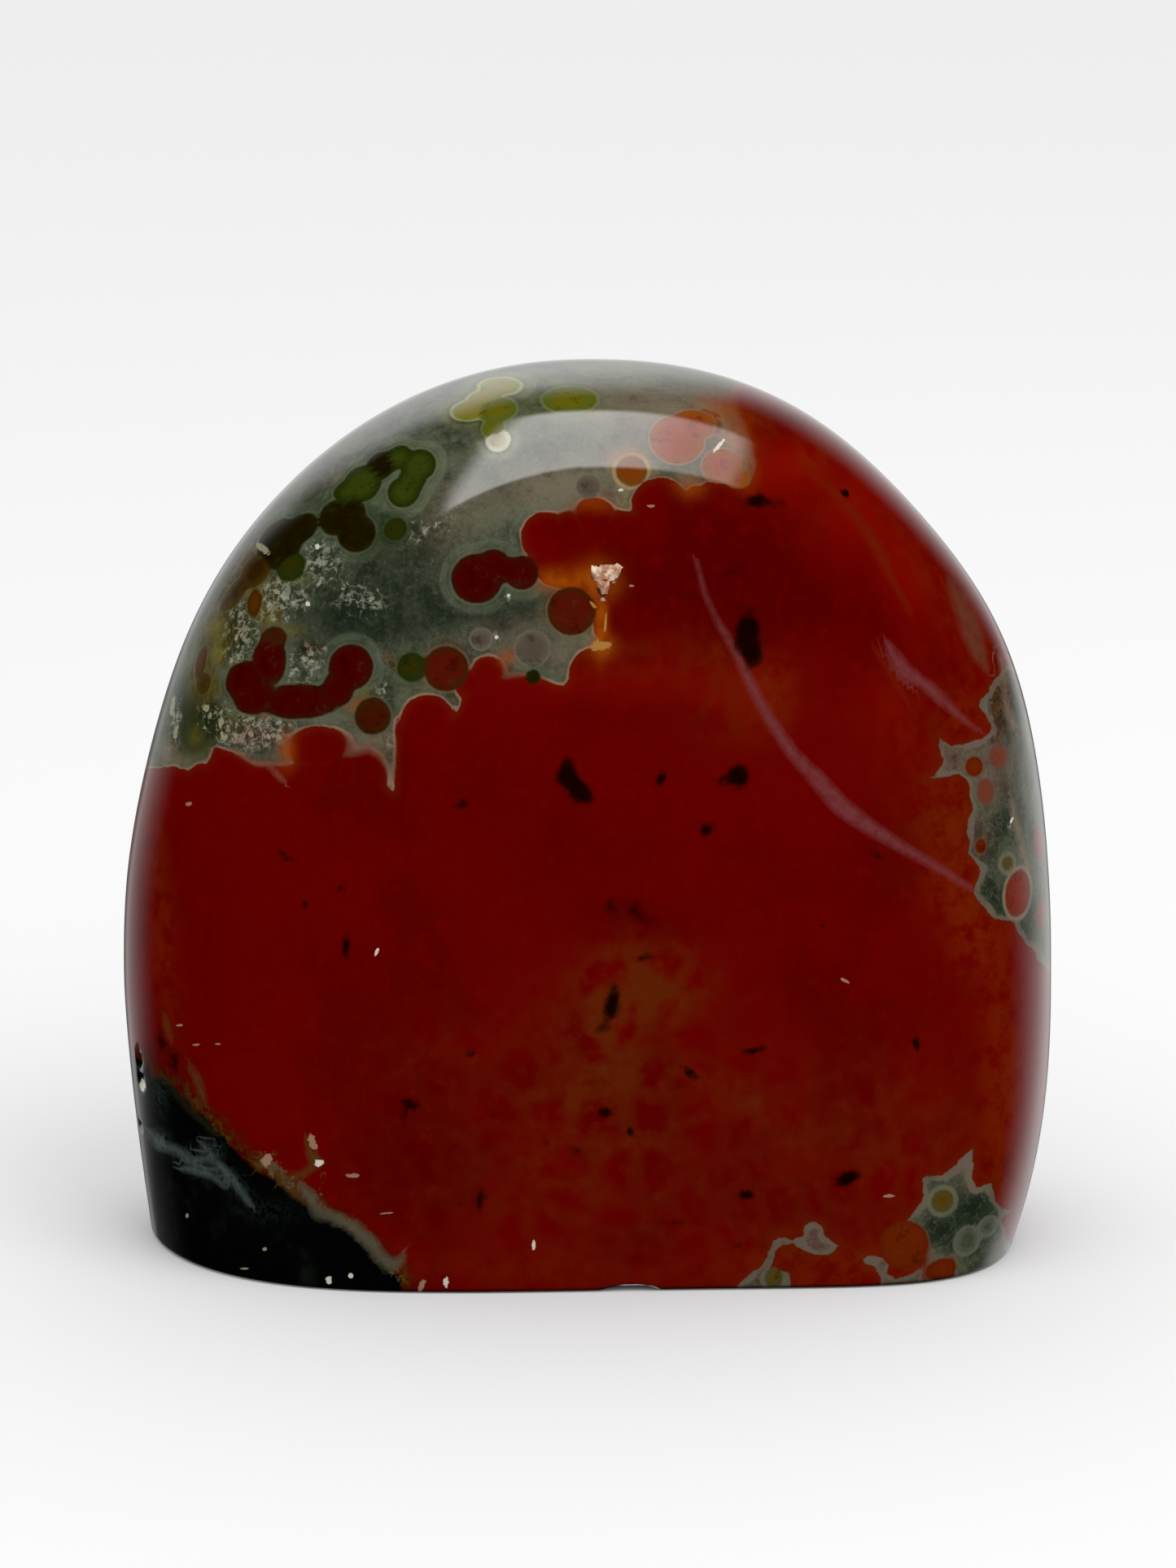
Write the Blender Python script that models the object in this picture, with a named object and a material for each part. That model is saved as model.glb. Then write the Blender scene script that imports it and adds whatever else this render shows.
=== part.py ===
"""A polished half moon of ocean jasper that stands on its flat ground base.

The stone is one natural piece. Seen from the front it is a dome whose sides draw in a little
towards the base. Front and back bulge gently and roll over into rounded edges. A druzy pocket
with quartz points, two small holes, worn pits on the left edge and a chip at the front of the
base are part of the same solid.

Frame: x to the right, y to the back, z up. The base lies at z = 0 and the origin is below the
middle of the stone. Sizes are in millimetres until a mesh is made.
"""

import math

import bmesh
import bpy
import numpy as np
from mathutils import Matrix, Vector

MM = 0.001

# Overall size of the stone
WIDTH = 80.0
DEPTH = 38.0
HEIGHT = 75.8

# Height of the widest level, and how the sides draw in below it
WAIST = 22.8
DRAW_LEFT = 0.048
DRAW_LEFT_POWER = 1.52
DRAW_RIGHT = 0.082
DRAW_RIGHT_POWER = 2.50

# Roundness of the dome on each side: 2 is an ellipse, more is fuller
DOME_LEFT = 2.13
DOME_RIGHT = 2.26

# How sharply the faces roll over into the edge: 2 is round, more keeps the face flat for longer
ROLL_TOP = 5.5
ROLL_LEFT = 3.1
ROLL_RIGHT = 2.9
ROLL_BASE_LEFT = 4.24
ROLL_BASE_RIGHT = 6.35
ROLL_BASE_HEIGHT = 30.0

# Fullness of the edge in plan: 2 is round, less is more pointed
EDGE_ROUND = 2.0
EDGE_BASE_LEFT = 1.8

# Thickness at the base, and the height at which the full thickness is reached
BASE_DEPTH = 37.1
BASE_DEPTH_HEIGHT = 26.0

# The base is turned a little: how far back its left and right ends lie, and where that ends above
TURN_LEFT = 1.8
TURN_RIGHT = -1.6
TURN_HEIGHT = 34.0

# Flats and swells left by the grinding wheel: compass angle in the front view and share of radius
GRIND_HUB = 32.0
GRIND_SPREAD = 13.0
GRIND_MARKS = ((44.4, -0.0284), (34.7, 0.0265), (149.5, 0.0145), (156.9, -0.0156))

# Fineness of the skin, and the small round on the edge of the base
SEGMENTS = 76
RINGS = 46
CENTRE_HEIGHT = 30.0
REACH = 75.0
BISECTIONS = 40
BELOW_BASE = 5.0
BASE_EDGE_ROUND = 0.5
BASE_EDGE_MERGE = 0.35

# Hollows in the face: name, x, z and half sizes along x, y and z
POCKET_X, POCKET_Z = 0.2, 60.1
POCKET_SIZE = (1.35, 1.3, 1.45)
FACE_HOLES = (
    ("left_hole", -27.9, 45.2, (0.62, 0.9, 0.42)),
    ("right_hole", 29.7, 43.9, (0.34, 0.7, 0.62)),
)

# Hollows in the left edge: name, y, z and half sizes along x, y and z
EDGE_PITS = (
    ("edge_pit_upper", -4.3, 16.6, (0.75, 1.0, 0.85)),
    ("edge_pit_lower", -4.3, 14.9, (0.55, 0.8, 0.6)),
    ("edge_slit", -4.2, 11.2, (0.4, 0.8, 0.35)),
)

# Chip at the front of the base
CHIP_X = 2.5
CHIP_Z = 0.08
CHIP_SIZE = (3.0, 1.1, 0.62)
HOLLOW_SUBDIVISIONS = 2

# Quartz points in the pocket: place across and up from its middle, radius, length, lean across and up
POINT_SIDES = 6
POINT_TIP_SHARE = 0.45
POINTS = (
    (-0.62, 0.30, 0.30, 1.05, -22.0, 14.0),
    (0.05, 0.62, 0.26, 0.95, 6.0, 24.0),
    (0.60, 0.22, 0.33, 1.00, 24.0, 8.0),
    (-0.30, -0.45, 0.34, 1.10, -14.0, -18.0),
    (0.42, -0.52, 0.28, 0.90, 16.0, -24.0),
    (0.02, 0.02, 0.36, 0.80, 4.0, 2.0),
)

# Colour of the stone: a deep red-brown, polished
STONE_COLOUR = (0.110, 0.012, 0.009, 1.0)
STONE_ROUGHNESS = 0.12


def ease(low, high, value):
    """Smooth ramp from 0 at low to 1 at high."""
    share = np.clip((value - low) / (high - low), 0.0, 1.0)
    return share * share * (3.0 - 2.0 * share)


def unground(x, z):
    """Undo the flats and swells, so that the even dome can be measured."""
    angle = np.degrees(np.arctan2(np.maximum(z - GRIND_HUB, 0.0), x))
    stretch = np.ones_like(x)
    for centre, share in GRIND_MARKS:
        stretch = stretch + share * np.exp(-0.5 * ((angle - centre) / GRIND_SPREAD) ** 2)
    return x / stretch, np.where(z > GRIND_HUB, GRIND_HUB + (z - GRIND_HUB) / stretch, z)


def skin_excess(x, y, z):
    """Below 0 inside the stone, 0 on its skin and above 0 outside it."""
    x, z = unground(x, z)
    right = x > 0.0
    rise = np.maximum((z - WAIST) / (HEIGHT - WAIST), 0.0)
    drop = np.maximum((WAIST - z) / WAIST, 0.0)
    draw = np.where(right, DRAW_RIGHT * drop**DRAW_RIGHT_POWER, DRAW_LEFT * drop**DRAW_LEFT_POWER)
    half_width = 0.5 * WIDTH * (1.0 - draw)
    dome = np.where(right, DOME_RIGHT, DOME_LEFT)
    across = (np.abs(x) / half_width) ** dome
    up = rise**dome
    rim = across + up
    topness = ease(0.0, 1.0, up / np.maximum(rim, 1e-9))
    clear_of_base = ease(0.0, ROLL_BASE_HEIGHT, z)
    roll_side = np.where(right, ROLL_RIGHT, ROLL_LEFT)
    roll_base = np.where(right, ROLL_BASE_RIGHT, ROLL_BASE_LEFT)
    roll = roll_base + (roll_side - roll_base) * clear_of_base
    roll = roll + (ROLL_TOP - roll) * topness
    edge = np.where(right, EDGE_ROUND, EDGE_BASE_LEFT)
    edge = edge + (EDGE_ROUND - edge) * np.maximum(clear_of_base, topness)
    half_depth = 0.5 * (BASE_DEPTH + (DEPTH - BASE_DEPTH) * ease(0.0, BASE_DEPTH_HEIGHT, z))
    turn = np.where(right, TURN_RIGHT, TURN_LEFT) * (2.0 * x / WIDTH) ** 2
    middle = turn * (1.0 - ease(0.0, TURN_HEIGHT, z))
    return (np.abs(y - middle) / half_depth) ** edge + rim ** (roll / dome) - 1.0


def skin_points(start, directions):
    """Where rays from a point inside the stone meet its skin, or the level below its base."""
    near = np.zeros(len(directions))
    far = np.full(len(directions), REACH)
    for _ in range(BISECTIONS):
        middle = 0.5 * (near + far)
        x, y, z = (start + directions * middle[:, None]).T
        outside = (skin_excess(x, y, z) > 0.0) | (z < -BELOW_BASE)
        far = np.where(outside, middle, far)
        near = np.where(outside, near, middle)
    return start + directions * far[:, None]


def front_point(x, z):
    """The point of the front face at this place in the front view."""
    return skin_points(np.array((x, 0.0, z)), np.array(((0.0, -1.0, 0.0),)))[0]


def move_to_skin(body):
    """Carry each vertex of a round ball along its ray to the skin of the stone."""
    directions = np.array([vertex.co.normalized()[:] for vertex in body.verts])
    places = skin_points(np.array((0.0, 0.0, CENTRE_HEIGHT)), directions)
    for vertex, place in zip(body.verts, places):
        vertex.co = Vector(place) * MM


def cut_base(body):
    """Cut the stone flat at z = 0, close the cut and round its edge."""
    everything = body.verts[:] + body.edges[:] + body.faces[:]
    bmesh.ops.bisect_plane(
        body, geom=everything, plane_co=(0.0, 0.0, 0.0), plane_no=(0.0, 0.0, -1.0), clear_outer=True
    )
    bmesh.ops.remove_doubles(body, verts=body.verts[:], dist=BASE_EDGE_MERGE * MM)
    for vertex in body.verts:
        if vertex.co.z < BASE_EDGE_MERGE * MM:
            vertex.co.z = 0.0
    bmesh.ops.holes_fill(body, edges=[edge for edge in body.edges if edge.is_boundary])
    base = next(face for face in body.faces if all(vertex.co.z == 0.0 for vertex in face.verts))
    bmesh.ops.bevel(
        body,
        geom=base.edges[:],
        offset=BASE_EDGE_ROUND * MM,
        offset_type="OFFSET",
        segments=2,
        profile=0.5,
        affect="EDGES",
        clamp_overlap=True,
    )


def centre_over_origin(body):
    """Slide the mesh so that the middle of its width and depth is over the origin."""
    places = np.array([vertex.co[:] for vertex in body.verts])
    middle = 0.5 * (places.min(axis=0) + places.max(axis=0))
    bmesh.ops.translate(body, verts=body.verts[:], vec=(-middle[0], -middle[1], 0.0))


def new_object(name, body, collection):
    """Put a finished bmesh into an object of its own."""
    mesh = bpy.data.meshes.new(name)
    body.to_mesh(mesh)
    body.free()
    thing = bpy.data.objects.new(name, mesh)
    collection.objects.link(thing)
    return thing


def make_stone(collection):
    """The whole stone before anything is cut from it."""
    body = bmesh.new()
    bmesh.ops.create_uvsphere(
        body,
        u_segments=SEGMENTS,
        v_segments=RINGS,
        radius=1.0,
        matrix=Matrix.Rotation(math.radians(90.0), 4, "X"),
    )
    move_to_skin(body)
    cut_base(body)
    centre_over_origin(body)
    bmesh.ops.triangulate(body, faces=body.faces[:])
    bmesh.ops.recalc_face_normals(body, faces=body.faces[:])
    return new_object("stone", body, collection)


def make_hollow(name, centre, half_sizes, collection):
    """A rounded, slightly faceted cutter of the given half sizes."""
    body = bmesh.new()
    bmesh.ops.create_icosphere(body, subdivisions=HOLLOW_SUBDIVISIONS, radius=1.0)
    bmesh.ops.scale(body, verts=body.verts[:], vec=Vector(half_sizes) * MM)
    bmesh.ops.translate(body, verts=body.verts[:], vec=Vector(centre) * MM)
    cutter = new_object(name, body, collection)
    cutter.hide_render = True
    cutter.display_type = "WIRE"
    return cutter


def make_point(name, pocket_floor, across, up, radius, length, lean_across, lean_up, collection):
    """A six-sided quartz point that stands out of the pocket's wall towards the front."""
    shaft = length * (1.0 - POINT_TIP_SHARE)
    tip = length * POINT_TIP_SHARE
    body = bmesh.new()
    bmesh.ops.create_cone(
        body,
        cap_ends=True,
        segments=POINT_SIDES,
        radius1=radius * MM,
        radius2=radius * MM,
        depth=shaft * MM,
        matrix=Matrix.Translation((0.0, 0.0, 0.5 * shaft * MM)),
    )
    top_faces = [face for face in body.faces if face.calc_center_median().z > 0.99 * shaft * MM]
    poked = bmesh.ops.poke(body, faces=top_faces)
    for vertex in poked["verts"]:
        vertex.co.z += tip * MM
    outwards = Matrix.Rotation(math.radians(90.0), 4, "X")
    lean = Matrix.Rotation(math.radians(lean_across), 4, "Z") @ Matrix.Rotation(math.radians(-lean_up), 4, "X")
    place = Matrix.Translation(Vector((pocket_floor[0] + across, pocket_floor[1], pocket_floor[2] + up)) * MM)
    bmesh.ops.transform(body, matrix=place @ lean @ outwards, verts=body.verts[:])
    bmesh.ops.recalc_face_normals(body, faces=body.faces[:])
    quartz = new_object(name, body, collection)
    quartz.hide_render = True
    quartz.display_type = "WIRE"
    return quartz


def apply_boolean(stone, other, operation):
    """Add a Boolean modifier that joins the other solid to the stone or cuts it away."""
    modifier = stone.modifiers.new(other.name, "BOOLEAN")
    modifier.operation = operation
    modifier.solver = "EXACT"
    modifier.object = other


def cut_hollows(stone, cutters):
    """The druzy pocket, the two holes in the face, the worn left edge and the chip in the base."""
    pocket = make_hollow("druzy_pocket", front_point(POCKET_X, POCKET_Z), POCKET_SIZE, cutters)
    apply_boolean(stone, pocket, "DIFFERENCE")
    for name, x, z, half_sizes in FACE_HOLES:
        apply_boolean(stone, make_hollow(name, front_point(x, z), half_sizes, cutters), "DIFFERENCE")
    for name, y, z, half_sizes in EDGE_PITS:
        edge = skin_points(np.array((0.0, y, z)), np.array(((-1.0, 0.0, 0.0),)))[0]
        apply_boolean(stone, make_hollow(name, edge, half_sizes, cutters), "DIFFERENCE")
    base_front = front_point(CHIP_X, CHIP_Z)
    apply_boolean(stone, make_hollow("base_chip", base_front, CHIP_SIZE, cutters), "DIFFERENCE")


def grow_points(stone, cutters):
    """Quartz points rooted in the pocket's floor, joined to the stone."""
    floor = front_point(POCKET_X, POCKET_Z) + np.array((0.0, POCKET_SIZE[1] * 0.95, 0.0))
    for number, point in enumerate(POINTS, start=1):
        across, up, radius, length, lean_across, lean_up = point
        quartz = make_point(
            f"quartz_point_{number}", floor, across, up, radius, length, lean_across, lean_up, cutters
        )
        apply_boolean(stone, quartz, "UNION")


def polished_jasper():
    """The stone's one material."""
    material = bpy.data.materials.new("polished_jasper")
    material.use_nodes = True
    shader = material.node_tree.nodes["Principled BSDF"]
    shader.inputs["Base Color"].default_value = STONE_COLOUR
    shader.inputs["Roughness"].default_value = STONE_ROUGHNESS
    shader.inputs["Metallic"].default_value = 0.0
    return material


def main():
    """Clear the scene and make the half moon."""
    for thing in list(bpy.data.objects):
        bpy.data.objects.remove(thing, do_unlink=True)
    parts = bpy.data.collections.new("ocean_jasper_half_moon")
    cutters = bpy.data.collections.new("cutters")
    bpy.context.scene.collection.children.link(parts)
    bpy.context.scene.collection.children.link(cutters)
    stone = make_stone(parts)
    stone.data.materials.append(polished_jasper())
    stone.data.shade_smooth()
    cut_hollows(stone, cutters)
    grow_points(stone, cutters)


main()
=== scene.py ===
"""The looks of the ocean jasper half moon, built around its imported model.

The stone is one surface of two parameters with its pattern worked out on every vertex: how far each
point lies from the red mass, from the nearest orb, from the black corner and from the veins. One
stone material turns those distances into crisp borders, halos, bands and speckle. Quartz points fill
the druzy pocket. Sizes are in millimetres until a mesh is made. Places read from the photograph are
pixels of its 1445 x 1927 frame.
"""

import logging
import math
from collections.abc import Sequence
from dataclasses import dataclass, field
from enum import Enum

import bpy
import numpy as np
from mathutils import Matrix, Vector


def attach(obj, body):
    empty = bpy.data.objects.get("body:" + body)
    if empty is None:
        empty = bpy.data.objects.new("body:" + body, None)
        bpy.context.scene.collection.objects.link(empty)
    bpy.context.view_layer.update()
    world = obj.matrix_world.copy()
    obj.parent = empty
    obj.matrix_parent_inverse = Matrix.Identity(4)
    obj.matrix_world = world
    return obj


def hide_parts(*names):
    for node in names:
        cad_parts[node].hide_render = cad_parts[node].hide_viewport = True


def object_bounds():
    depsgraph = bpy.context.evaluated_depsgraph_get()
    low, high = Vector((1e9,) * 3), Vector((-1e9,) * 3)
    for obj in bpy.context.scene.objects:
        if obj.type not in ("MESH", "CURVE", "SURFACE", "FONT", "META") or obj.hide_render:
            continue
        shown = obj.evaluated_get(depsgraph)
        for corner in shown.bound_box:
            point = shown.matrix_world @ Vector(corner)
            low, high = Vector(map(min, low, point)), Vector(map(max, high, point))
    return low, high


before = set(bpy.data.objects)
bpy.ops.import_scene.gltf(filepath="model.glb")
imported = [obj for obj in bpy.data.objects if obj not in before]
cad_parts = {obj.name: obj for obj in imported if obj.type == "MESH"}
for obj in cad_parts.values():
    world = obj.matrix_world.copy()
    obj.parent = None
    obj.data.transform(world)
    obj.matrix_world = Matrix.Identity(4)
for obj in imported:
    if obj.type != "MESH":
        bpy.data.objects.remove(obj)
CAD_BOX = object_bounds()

LOG = logging.getLogger("ocean_jasper")
MM = 0.001
BODY = "root"
NODE = "stone"
QUARTZ_IOR = 1.54

Colour = tuple[float, float, float, float]
Spot = tuple[float, float]


def tint(red: int, green: int, blue: int) -> Colour:
    """A colour as the eye reads it, 0 to 255 a channel, turned into linear light.

    Args:
        red: red channel.
        green: green channel.
        blue: blue channel.

    Returns:
        Linear red, green, blue and an alpha of 1.
    """
    linear = [
        channel / 255 / 12.92 if channel <= 10 else ((channel / 255 + 0.055) / 1.055) ** 2.4
        for channel in (red, green, blue)
    ]
    return (linear[0], linear[1], linear[2], 1.0)


def ease(low: float, high: float, value: np.ndarray) -> np.ndarray:
    """Smooth ramp from 0 at low to 1 at high."""
    share = np.clip((value - low) / (high - low), 0.0, 1.0)
    return share * share * (3.0 - 2.0 * share)


@dataclass(frozen=True)
class Ripple:
    """A smooth uneven field: seeded sine waves that run in all directions, added up."""

    seed: int
    length: float
    waves: int = 11

    def at(self, points: np.ndarray) -> np.ndarray:
        """The field at points, about -2 to 2: the sum of sin(2 pi direction . point / length + phase).

        Args:
            points: places in millimetres, one row each.

        Returns:
            One value for each point, with a spread of 1.
        """
        draw = np.random.default_rng(self.seed)
        ways = draw.normal(size=(self.waves, 3))
        ways /= np.linalg.norm(ways, axis=1, keepdims=True)
        lengths = self.length * draw.uniform(0.6, 1.7, self.waves)
        phases = draw.uniform(0.0, 2.0 * np.pi, self.waves)
        waves = np.sin(points @ (2.0 * np.pi * ways / lengths[:, None]).T + phases)
        return waves.sum(axis=1) / math.sqrt(self.waves / 2.0)


@dataclass(frozen=True)
class Sight:
    """The photograph's camera: where it stands, and how pixels and places in space go together."""

    azimuth: float = -3.285
    elevation: float = 12.0
    distance: float = 400.0
    aim: tuple[float, float, float] = (0.0, 0.0, 39.44)
    focal: float = 5741.6
    width: int = 1445
    height: int = 1927
    sensor: float = 36.0

    def axes(self) -> tuple[np.ndarray, np.ndarray, np.ndarray, np.ndarray]:
        """The camera's place and its forward, right and up directions."""
        turn, tilt = math.radians(self.azimuth), math.radians(self.elevation)
        back = np.array((math.sin(turn) * math.cos(tilt), -math.cos(turn) * math.cos(tilt), math.sin(tilt)))
        right = np.cross(-back, (0.0, 0.0, 1.0))
        right /= np.linalg.norm(right)
        return np.array(self.aim) + back * self.distance, -back, right, np.cross(right, -back)

    def rays(self, u: np.ndarray, v: np.ndarray) -> np.ndarray:
        """Unit directions from the camera through pixels (u, v), one row each."""
        _, forward, right, up = self.axes()
        across = (np.asarray(u, float) - self.width / 2)[:, None] / self.focal
        rise = (self.height / 2 - np.asarray(v, float))[:, None] / self.focal
        ways = forward + right * across + up * rise
        return ways / np.linalg.norm(ways, axis=1, keepdims=True)

    def picture(self, points: np.ndarray) -> tuple[np.ndarray, np.ndarray]:
        """The pixels at which points would show, with nothing in front of them."""
        place, forward, right, up = self.axes()
        away = points - place
        scale = self.focal / (away @ forward)
        return self.width / 2 + (away @ right) * scale, self.height / 2 - (away @ up) * scale

    def make_camera(self) -> bpy.types.Object:
        """The scene's camera, set as its active one."""
        data = bpy.data.cameras.new("photo_camera")
        data.sensor_width = self.sensor
        data.lens = self.focal / self.height * self.sensor
        data.clip_start, data.clip_end = 0.01, 50.0
        camera = bpy.data.objects.new("photo_camera", data)
        place, forward, _, _ = self.axes()
        camera.location = Vector(place) * MM
        camera.rotation_mode = "QUATERNION"
        camera.rotation_quaternion = Vector(forward).to_track_quat("-Z", "Y")
        bpy.context.scene.collection.objects.link(camera)
        bpy.context.scene.camera = camera
        return camera


@dataclass(frozen=True)
class Hollow:
    """A rounded hollow that is pushed into the skin: its middle, half sizes and the way in."""

    middle: tuple[float, float, float]
    half_sizes: tuple[float, float, float]
    inwards: tuple[float, float, float]
    roughness: float = 0.0
    seed: int = 0

    def sunk(self, points: np.ndarray) -> np.ndarray:
        """Slide the points inside the hollow's ellipsoid inwards, on to its far wall.

        Each point keeps to the line through it along inwards. With q the point and e the way in, both
        divided by the half sizes, the distance t solves |q + t e| = 1.

        Args:
            points: places in millimetres, one row each.

        Returns:
            The same points, moved where they lie inside.
        """
        sizes = np.array(self.half_sizes)
        way = np.array(self.inwards) / np.linalg.norm(self.inwards)
        uneven = 1.0 + self.roughness * Ripple(self.seed, 1.6).at(points)[:, None]
        place = (points - np.array(self.middle)) / (sizes * uneven)
        step = way / (sizes * uneven)
        along = (place * step).sum(axis=1)
        square = (step * step).sum(axis=1)
        depth = along**2 - square * ((place * place).sum(axis=1) - 1.0)
        slide = (-along + np.sqrt(np.maximum(depth, 0.0))) / square
        inside = ((place * place).sum(axis=1) < 1.0)[:, None]
        return np.where(inside, points + way * slide[:, None], points)


@dataclass(frozen=True)
class StoneForm:
    """The half moon's outline and bulge, with the same driving sizes as its solid."""

    width: float = 80.0
    depth: float = 38.0
    height: float = 75.8
    waist: float = 22.8
    draw_left: Spot = (0.048, 1.52)
    draw_right: Spot = (0.082, 2.50)
    dome: Spot = (2.13, 2.26)
    roll_top: float = 5.5
    roll: Spot = (3.1, 2.9)
    roll_base: Spot = (4.24, 6.35)
    roll_base_height: float = 30.0
    edge_round: float = 2.0
    edge_base_left: float = 1.8
    base_depth: float = 37.1
    base_depth_height: float = 26.0
    turn: Spot = (1.8, -1.6)
    turn_height: float = 34.0
    hub: float = 32.0
    grind_spread: float = 13.0
    grind_marks: tuple[Spot, ...] = ((44.4, -0.0284), (34.7, 0.0265), (149.5, 0.0145), (156.9, -0.0156))
    base_edge: float = 0.5

    def stretch(self, x: np.ndarray, z: np.ndarray) -> np.ndarray:
        """How far the grinding left this part of the outline in or out, as a share of its radius."""
        angle = np.degrees(np.arctan2(np.maximum(z - self.hub, 0.0), x))
        bumps = [
            share * np.exp(-0.5 * ((angle - centre) / self.grind_spread) ** 2)
            for centre, share in self.grind_marks
        ]
        return 1.0 + sum(bumps)

    def rise(self, z: np.ndarray) -> np.ndarray:
        """The height above the waist as a share of the dome, 0 below the waist."""
        return np.clip((z - self.waist) / (self.height - self.waist), 0.0, None)

    def narrowed(self, z: np.ndarray, dome: np.ndarray | float) -> np.ndarray:
        """The share of the width that the dome leaves at a height: (1 - rise^dome)^(1 / dome)."""
        return np.clip(1.0 - self.rise(z) ** dome, 0.0, None) ** (1.0 / dome)

    def half_width(self, z: np.ndarray, right: np.ndarray) -> np.ndarray:
        """Half the width at a height: the full half width less a power of the drop below the waist."""
        drop = np.maximum((self.waist - z) / self.waist, 0.0)
        left_draw = self.draw_left[0] * drop ** self.draw_left[1]
        right_draw = self.draw_right[0] * drop ** self.draw_right[1]
        return 0.5 * self.width * (1.0 - np.where(right, right_draw, left_draw))

    def bulge(self, x: np.ndarray, z: np.ndarray) -> tuple[np.ndarray, np.ndarray, np.ndarray]:
        """The parts of the skin's formula at a place of the even front view.

        rim = |x / half width|^dome + rise^dome, and the skin is where
        |(y - middle) / half depth|^edge + rim^(roll / dome) = 1.

        Args:
            x: places across, before the grinding marks.
            z: heights, before the grinding marks.

        Returns:
            The middle plane's y, the skin's distance from it, and rim.
        """
        right = x > 0.0
        dome = np.where(right, self.dome[1], self.dome[0])
        up = self.rise(z) ** dome
        rim = (np.abs(x) / self.half_width(z, right)) ** dome + up
        topness = ease(0.0, 1.0, up / np.maximum(rim, 1e-9))
        clear = ease(0.0, self.roll_base_height, z)
        base = np.where(right, self.roll_base[1], self.roll_base[0])
        roll = base + (np.where(right, self.roll[1], self.roll[0]) - base) * clear
        roll = roll + (self.roll_top - roll) * topness
        edge = np.where(right, self.edge_round, self.edge_base_left)
        edge = edge + (self.edge_round - edge) * np.maximum(clear, topness)
        half = 0.5 * (self.base_depth + (self.depth - self.base_depth) * ease(0.0, self.base_depth_height, z))
        turn = np.where(right, self.turn[1], self.turn[0]) * (2.0 * x / self.width) ** 2
        middle = turn * (1.0 - ease(0.0, self.turn_height, z))
        return middle, half * np.clip(1.0 - rim ** (roll / dome), 0.0, None) ** (1.0 / edge), rim

    def gap(self, points: np.ndarray) -> np.ndarray:
        """Below 0 inside the stone and above 0 outside it: distance from the middle plane less the bulge."""
        x, y, z = points[..., 0], points[..., 1], points[..., 2]
        stretch = self.stretch(x, z)
        x, z = x / stretch, np.where(z > self.hub, self.hub + (z - self.hub) / stretch, z)
        middle, bulge, rim = self.bulge(x, z)
        return np.where(rim >= 1.0, (rim - 1.0) * self.depth, np.abs(y - middle) - bulge)

    def under(self, sight: Sight, u: np.ndarray, v: np.ndarray) -> np.ndarray:
        """The places of the skin that pixels of the photograph show.

        Args:
            sight: the photograph's camera.
            u: pixels across.
            v: pixels down.

        Returns:
            One place in millimetres for each pixel. A pixel just off the outline gives the nearest rim.
        """
        start = sight.axes()[0]
        ways = sight.rays(u, v)
        reach = np.linspace(sight.distance - 75.0, sight.distance + 45.0, 1201)
        gaps = self.gap(start + ways[:, None, :] * reach[None, :, None])
        inside = gaps < 0.0
        first = np.where(inside.any(axis=1), inside.argmax(axis=1), gaps.argmin(axis=1))
        near, far = reach[np.maximum(first - 1, 0)], reach[first]
        for _ in range(24):
            middle = 0.5 * (near + far)
            hit = self.gap(start + ways * middle[:, None]) < 0.0
            near, far = np.where(hit, near, middle), np.where(hit, middle, far)
        return start + ways * far[:, None]


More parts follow.
